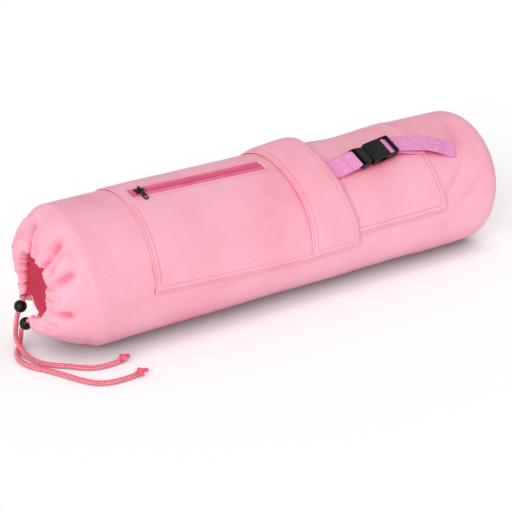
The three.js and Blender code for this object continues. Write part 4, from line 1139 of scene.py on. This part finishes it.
def make_zip_pocket():
    corners = (0, 0.8, 2)
    window = [WINDOW_LEFT + n for n in corners] + [WINDOW_RIGHT - n for n in corners]
    xs = np.unique(np.concatenate([fine_steps(ZIP_LEFT, ZIP_RIGHT), window]))
    steps = np.array([0.3, 0.8, 1.6, 2.4, 3.4, 4.0, 4.6, 5.4, 6.5])
    below, above = 165, 53
    near_window = 1 - steps[::-1] / below
    low_rows = fine_steps(0, below, sides="start") / below
    low_rows = np.unique(np.concatenate([low_rows[low_rows < near_window[0]], near_window, [1.0]]))
    high_rows = np.concatenate([steps, np.linspace(10, above, 10)]) / above
    window_rows = 5
    x = xs[:, None]
    angle = np.concatenate([
        lerp(zip_pocket_low(x), window_low(x), low_rows[None, :]),
        lerp(window_low(x), window_top(x), np.linspace(0, 1, window_rows + 1)[None, 1:]),
        lerp(window_top(x), PANEL_TOP, high_rows[None, :]),
    ], 1)
    x = x + 0 * angle
    from_window = np.maximum(
        np.maximum(window_low(x) - angle, angle - window_top(x)) * ARC,
        np.maximum(WINDOW_LEFT - x, x - WINDOW_RIGHT),
    )
    from_low = (angle - zip_pocket_low(x)) * ARC
    edge = np.minimum(np.minimum(x - ZIP_LEFT, ZIP_RIGHT - x), from_low)
    height = np.minimum(
        edge_form(edge, PANEL),
        edge_form(np.maximum(from_window, 0), PANEL, rows=(WINDOW_SEAM,)),
    )
    rise = 0.5 * bell(from_window - 6, 8)
    wave = 0.35 * slow_waves(x * 1.6, angle) * smooth(edge, 0, 14) * smooth(from_window, 0, 14)
    base = CLEAR + np.maximum(0, rise + wave) + low_edge(from_low, *ZIP_LOW_EDGE)
    cells = np.ones((len(xs) - 1, angle.shape[1] - 1), bool)
    start, end = np.searchsorted(xs, (WINDOW_LEFT, WINDOW_RIGHT))
    first = len(low_rows) - 1
    cells[start:end, first:first + window_rows] = False
    panel_piece("zip_pocket", x, angle, base, height, "zip_pocket_panel", cells)

    runs = []
    for inset in SEAMS:
        around = np.linspace(zip_pocket_low(ZIP_LEFT) + inset / ARC, PANEL_TOP - 1, 90)
        runs.append(line_on(ZIP_LEFT + inset, around, ON_PANEL))
        along = np.linspace(ZIP_LEFT + inset, ZIP_RIGHT - 1, 90)
        lift = ON_PANEL + low_edge(inset, *ZIP_LOW_EDGE)
        runs.append(line_on(along, zip_pocket_low(along) + inset / ARC, lift))
    lift = CLEAR + PANEL + 0.3
    seam = WINDOW_SEAM / ARC
    ends = (WINDOW_LEFT - WINDOW_SEAM, WINDOW_RIGHT + WINDOW_SEAM)
    along = np.linspace(*ends, 80)
    runs.append(line_on(along, window_low(along) - seam, lift))
    runs.append(line_on(along, window_top(along) + seam, lift))
    for end in ends:
        around = np.linspace(window_low(end) - seam, window_top(end) + seam, 12)
        runs.append(line_on(end, around, lift))
    stitches("stitches_zip_pocket", runs)


def make_open_pocket():
    width, tall = OPEN_RIGHT - OPEN_LEFT, 189
    across = fine_steps(0, width, sides="end") / width
    rows = fine_steps(0, tall, sides="start") / tall
    angle = lerp(OPEN_LOW, PANEL_TOP, rows)[None, :] + 0 * across[:, None]
    x = lerp(OPEN_LEFT, open_right(angle), across[:, None])
    from_low = (angle - OPEN_LOW) * ARC
    edge = np.minimum(np.minimum(open_right(angle) - x, from_low), x - OPEN_LEFT)
    wave = 0.72 * np.maximum(0, slow_waves(x * 2.2 + 40, angle)) * smooth(edge, 3, 22)
    wave = wave * smooth(x, 70, 100) * (1 - smooth(angle, 25, 40))
    base = CLEAR + open_lift(x, angle) + low_edge(from_low, *OPEN_LOW_EDGE) + wave
    panel_piece("open_pocket", x, angle, base, edge_form(edge, PANEL), "open_pocket_panel")

    runs = []
    for inset in SEAMS:
        low = OPEN_LOW + inset / ARC
        around = np.linspace(low, PANEL_TOP - 1, 90)
        right = open_right(around) - inset
        runs.append(line_on(right, around, ON_PANEL + open_lift(right, around)))
        along = np.linspace(75, OPEN_RIGHT + OPEN_FLARE - 1 - inset, 70)
        lift = ON_PANEL + low_edge(inset, *OPEN_LOW_EDGE) + open_lift(along, low)
        runs.append(line_on(along, low, lift))
    stitches("stitches_open_pocket", runs)


def make_band():
    tall = 273
    across = fine_steps(0, BAND_WIDTH) / BAND_WIDTH
    rows = fine_steps(0, tall, sides="start", step=3.0) / tall
    angle = lerp(BAND_LOW, BAND_BACK, rows)[None, :] + 0 * across[:, None]
    left, right = band_edge(angle, 0), band_edge(angle, 1)
    x = lerp(left, right, across[:, None])
    edge = np.minimum(np.minimum(x - left, right - x), (angle - BAND_LOW) * ARC)
    wave = 0.5 * slow_waves(x * 2.5, angle) * smooth(edge, 4, 14)
    base = band_lift(x, angle) + np.maximum(-0.4, wave)
    panel_piece("band", x, angle, base, edge_form(edge, CLOTH, dip=0.4), "flap_band")

    runs = []
    for inset in SEAMS:
        low = BAND_LOW + inset / ARC
        around = np.linspace(low, BAND_BACK - 5, 130)
        for side, sign in ((0, 1), (1, -1)):
            x = band_edge(around, side) + sign * inset
            runs.append(line_on(x, around, band_lift(x, around) + ON_BAND))
        along = np.linspace(band_edge(low, 0) + inset, band_edge(low, 1) - inset, 40)
        runs.append(line_on(along, low, band_lift(along, low) + ON_BAND))
    stitches("stitches_band", runs)


make_zip_pocket()
make_open_pocket()
make_band()


# Zip


def make_tape():
    xs = np.linspace(WINDOW_LEFT + CLEAR, WINDOW_RIGHT - CLEAR, 60)[:, None]
    share = np.linspace(0, 1, 12)[None, :]
    margin = CLEAR / ARC
    angle = lerp(window_low(xs) + margin, window_top(xs) - margin, share)
    x = xs + 0 * angle
    off = (share - 0.5) * (WINDOW_HEIGHT - 2 * CLEAR)
    rise = TAPE - 0.25 * bell(np.abs(off) - 5.2, 1.0) + 0 * x
    points, faces = sheet_solid(skin(x, angle, CLEAR + rise), skin(x, angle, CLEAR))
    uv = np.stack([x, angle * ARC], -1).reshape(-1, 2)
    obj = mesh_piece("tape", points, faces, uv=np.vstack([uv, uv]))
    trim(obj)
    return dress(obj, zip_finish, "zip_tape", "zip_tape")


def make_coil():
    """Two rows of teeth that mesh along the middle of the tape."""
    pitch, half = 1.3, 0.42
    outline = np.array([(-3.0, 0.0), (-3.0, 0.5), (-2.4, 1.0), (0.6, 1.2), (1.1, 0.7), (1.1, 0.0)])
    reach, height = outline.T
    count = len(outline)
    i = np.arange(count)
    k = (i + 1) % count
    walls = np.stack([i, k, k + count, i + count], -1)
    near = np.array([[0, 1, 2, 3], [0, 3, 4, 5]])
    far = np.array([[3, 2, 1, 0], [5, 4, 3, 0]]) + count
    quads = np.vstack([walls, near, far])
    base = CLEAR + TAPE + CLEAR
    parts = []
    for start in np.arange(WINDOW_LEFT + 4, WINDOW_RIGHT - 3, pitch):
        for side in (-1, 1):
            at = start + (pitch / 2 if side > 0 else 0)
            angles = window_top(at) - WINDOW_SPREAD / 2 + side * reach / ARC
            rings = [skin(at + dx, angles, base + height) for dx in (-half, half)]
            parts.append((np.concatenate(rings), quads if side > 0 else quads[:, ::-1]))
    points, faces = join_meshes(parts)
    obj = mesh_piece("coil", points, faces, smooth_faces=False)
    bevel = obj.modifiers.new("edge", "BEVEL")
    bevel.width = 0.0001
    bevel.segments = 1
    return dress(obj, coil_finish, "zip_coil", "zip_coil")


make_tape()
make_coil()


# Hard pieces


def rounded_copy(node, name, width, finish, slot, body="root"):
    """A copy of a hard CAD piece with its edges rounded, which stands in for it."""
    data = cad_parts[node].data.copy()
    obj = bpy.data.objects.new(name, data)
    bpy.context.scene.collection.objects.link(obj)
    b = bmesh.new()
    b.from_mesh(data)
    bmesh.ops.remove_doubles(b, verts=b.verts, dist=1e-6)
    bmesh.ops.dissolve_limit(b, angle_limit=1 * DEGREE, verts=b.verts, edges=b.edges)
    b.to_mesh(data)
    b.free()
    bevel = obj.modifiers.new("edge", "BEVEL")
    bevel.width = width
    bevel.segments = 2
    bevel.limit_method = "ANGLE"
    bevel.angle_limit = 25 * DEGREE
    bevel.use_clamp_overlap = True
    bevel.harden_normals = True
    data.shade_smooth()
    return dress(obj, finish, slot, node, body=body)


rounded_copy("zip_slider", "slider", 0.0003, metal_finish, "slider_metal")
rounded_copy("zip_pull_tab", "pull_tab", 0.00022, metal_finish, "slider_metal", "pull_tab")
rounded_copy("buckle_male", "buckle_tongue", 0.0006, plastic_finish, "buckle_plastic")
rounded_copy("buckle_female", "buckle_socket", 0.0006, plastic_finish, "buckle_plastic")


# Webbing


class Buckle:
    """The buckle's own frame: x towards the closed end, y up the slope, z off the cloth."""

    def __init__(self):
        skew = BUCKLE_SKEW * DEGREE
        self.out = out_at(BUCKLE_ANGLE)
        self.along = np.array([math.cos(skew), 0, 0]) + up_at(BUCKLE_ANGLE) * math.sin(skew)
        self.side = np.cross(self.out, self.along)
        lift = CLEAR + PANEL + OPEN_PUFF + BUCKLE_STAND + BUCKLE_THICK / 2
        self.middle = round_skin(BUCKLE_X, BUCKLE_ANGLE, lift)

    def at(self, x, z):
        return self.middle + self.along * x + self.out * z, self.side, 0.0, self.out


buckle = Buckle()


def on_skin(x, angle, lift, skew, curl):
    """A station of a strap: its place, its side, how far it curls round the tube, and out."""
    side = up_at(angle) * math.cos(skew * DEGREE) - np.array([math.sin(skew * DEGREE), 0, 0])
    return skin(x, angle, lift), side, curl, out_at(angle)


def on_pocket(x, angle, extra, skew, curl):
    return on_skin(x, angle, ON_POCKET + float(open_lift(x, angle)) + extra, skew, curl)


def wrapped(bar, start, end, count):
    """Stations round one of the buckle's bars."""
    turns = np.linspace(start, end, count + 1) * DEGREE
    return [buckle.at(bar + WRAP * math.cos(t), WRAP * math.sin(t)) for t in turns]


def make_strap(name, stations, node):
    """A strap of webbing through its stations, with rounded selvedges."""
    packed = np.array([np.concatenate([m, s, o, [c]]) for m, s, c, o in stations])
    line = spline(packed, 1.0, 16)
    middle, side, out, curl = line[:, :3], unit(line[:, 3:6]), unit(line[:, 6:9]), line[:, 9:10]
    along = unit(np.gradient(middle, axis=0))
    normal = unit(np.cross(along, side))
    across = np.linspace(-0.5, 0.5, 17) * WEBBING_WIDTH
    edge = np.clip((WEBBING_WIDTH / 2 - np.abs(across)) / 1.2, 0, 1)
    half = WEBBING / 2 * np.sqrt(np.clip(1 - (1 - edge) ** 2, 0.08, 1))
    drop = curl * across[None, :] ** 2 / (2 * RADIUS)
    place = middle[:, None] + side[:, None] * across[None, :, None] - out[:, None] * drop[..., None]
    top = place + normal[:, None] * half[None, :, None]
    low = place - normal[:, None] * half[None, :, None]
    points, faces = sheet_solid(top, low)
    run = run_along(middle)
    uv = np.stack(np.meshgrid(run, across, indexing="ij"), -1).reshape(-1, 2)
    obj = mesh_piece(name, points, faces, uv=np.vstack([uv, uv]))
    trim(obj)
    dress(obj, webbing_finish, "webbing", node)
    return middle, side, normal, run


def make_short_strap():
    """From under the band round the buckle's bar and back under the band."""
    sewn = MALE_BAR - WRAP - 9
    end = BUCKLE_X - BUCKLE_LENGTH / 2
    back = WEBBING + CLEAR
    make_strap("strap_short", [
        on_pocket(STRAP_START, STRAP_ANGLE, 0, 0, 1),
        on_pocket(lerp(STRAP_START, end, 0.35), STRAP_ANGLE, 0, 1, 1),
        on_pocket(lerp(STRAP_START, end, 0.62), STRAP_ANGLE + 0.3, 0.3, 3, 0.7),
        buckle.at(sewn, -WRAP),
        *wrapped(MALE_BAR, -90, 90, 6),
        buckle.at(sewn, -WRAP + WEBBING + CLEAR * 1.5),
        buckle.at(sewn - 7, -WRAP + WEBBING + CLEAR * 1.5),
        on_pocket(lerp(STRAP_START, end, 0.5), STRAP_ANGLE, back, 2, 1),
        on_pocket(STRAP_START + 12, STRAP_ANGLE, back, 0, 1),
    ], "webbing_short")


def make_long_strap():
    """From the seam by the closed end through the buckle's slot, round its bar and on to its loose end."""
    skin_lift = CLEAR + WEBBING / 2
    arch = ON_POCKET + 5.5
    start, rise, loose = 170, 94, 216
    back = start + 0.24 * rise
    middle, side, normal, run = make_strap("strap_long", [
        on_skin(STRAP_END, 47.5, skin_lift, -13, 1),
        on_skin(STRAP_END - 14, 49.7, skin_lift, -13, 1),
        on_skin(start + 0.76 * rise, 51.9, skin_lift + 2.6, -11, 0.7),
        on_skin(start + 0.52 * rise, 56, arch, -6, 0.4),
        on_skin(start + 0.3 * rise, 59.2, arch - 0.6, 2, 0.2),
        buckle.at(39, -0.9),
        buckle.at(32, -1),
        buckle.at(CENTRE_BAR + WRAP + 1.6, -0.7),
        *wrapped(CENTRE_BAR, 15, 250, 8),
        buckle.at(CENTRE_BAR + 3, -WRAP - 0.7),
        buckle.at(35, -WRAP - 1.1),
        on_pocket(back, 58.6, 0.6, 4, 0.6),
        on_pocket(lerp(back, loose, 0.5), 57.6, 0.2, 0, 1),
        on_pocket(loose, 56, 0, -4, 1),
    ], "webbing_long")
    out = out_at(48.0)

    def mark(u, v):
        """A place on the strap u along it and v across, both in millimetres, and its normal."""
        i = np.interp(u, run, np.arange(len(run)))
        low = np.minimum(np.floor(i).astype(int), len(run) - 2)
        part = (i - low)[..., None]
        centre = middle[low] * (1 - part) + middle[low + 1] * part
        drop = v[..., None] ** 2 / (2 * RADIUS)
        return centre + side[low] * v[..., None] - out * drop, normal[low]

    box = [(3, -9.5), (3, 9.5), (15, 9.5), (15, -9.5)]
    t = np.linspace(0, 1, 12)
    runs = []
    for a, b in [*zip(box, box[1:] + box[:1]), (box[0], box[2]), (box[1], box[3])]:
        line, n = mark(lerp(a[0], b[0], t), lerp(a[1], b[1], t))
        facing = np.sign((n * out).sum(-1))[:, None]
        runs.append((line + n * facing * (WEBBING / 2 + 0.05), n * facing))
    stitches("stitches_strap", runs, "webbing", webbing_finish)


make_short_strap()
make_long_strap()


# Floor, light and view


def make_stage():
    """A white floor with a painted contact shadow, darker close under the bag where ambient occlusion finds
    it, a white surround and one soft sun.
    """
    reach = 6000
    corners = [(-reach, -reach, 0), (reach, -reach, 0), (reach, reach, 0), (-reach, reach, 0)]
    floor = mesh_piece("floor", corners, [[0, 1, 2, 3]], False, shifted=False)
    paint = Paint("floor_white", (232, 232, 232), 0.9, Specular_IOR_Level=0.0,
                  Emission_Color=(1, 1, 1, 1), Emission_Strength=0.27)
    # Painted shadow: ambient occlusion darkens the floor's colour and its glow to grey close under the bag.
    near = paint.node("AmbientOcclusion", Distance=0.04).outputs["AO"]
    tone = paint.ramp(near, [(0.2, (178, 179, 180)), (0.7, (224, 225, 225)), (1.0, (232, 232, 232))])
    glow_with_painted_shadow = paint.ramp(near, [(0.2, (150, 154, 156)), (0.7, (236, 239, 240)), (1.0, (255, 255, 255))])
    paint.colour_from(tone)
    paint.tree.links.new(glow_with_painted_shadow, paint.shader.inputs["Emission Color"])
    floor.data.materials.append(paint.material)
    world = bpy.data.worlds.new("studio")
    world.use_nodes = True
    background = world.node_tree.nodes["Background"]
    background.inputs["Color"].default_value = (1, 1, 1, 1)
    background.inputs["Strength"].default_value = 0.68
    bpy.context.scene.world = world

    key = bpy.data.lights.new("key", "SUN")
    key.energy = 1.6
    key.angle = 34 * DEGREE
    lamp = bpy.data.objects.new("key", key)
    lamp.rotation_euler = Vector((-0.74, -0.5, 0.45)).to_track_quat("Z", "Y").to_euler()
    bpy.context.scene.collection.objects.link(lamp)
    view = bpy.context.scene.view_settings
    view.view_transform = "Standard"
    view.look = "None"


make_stage()
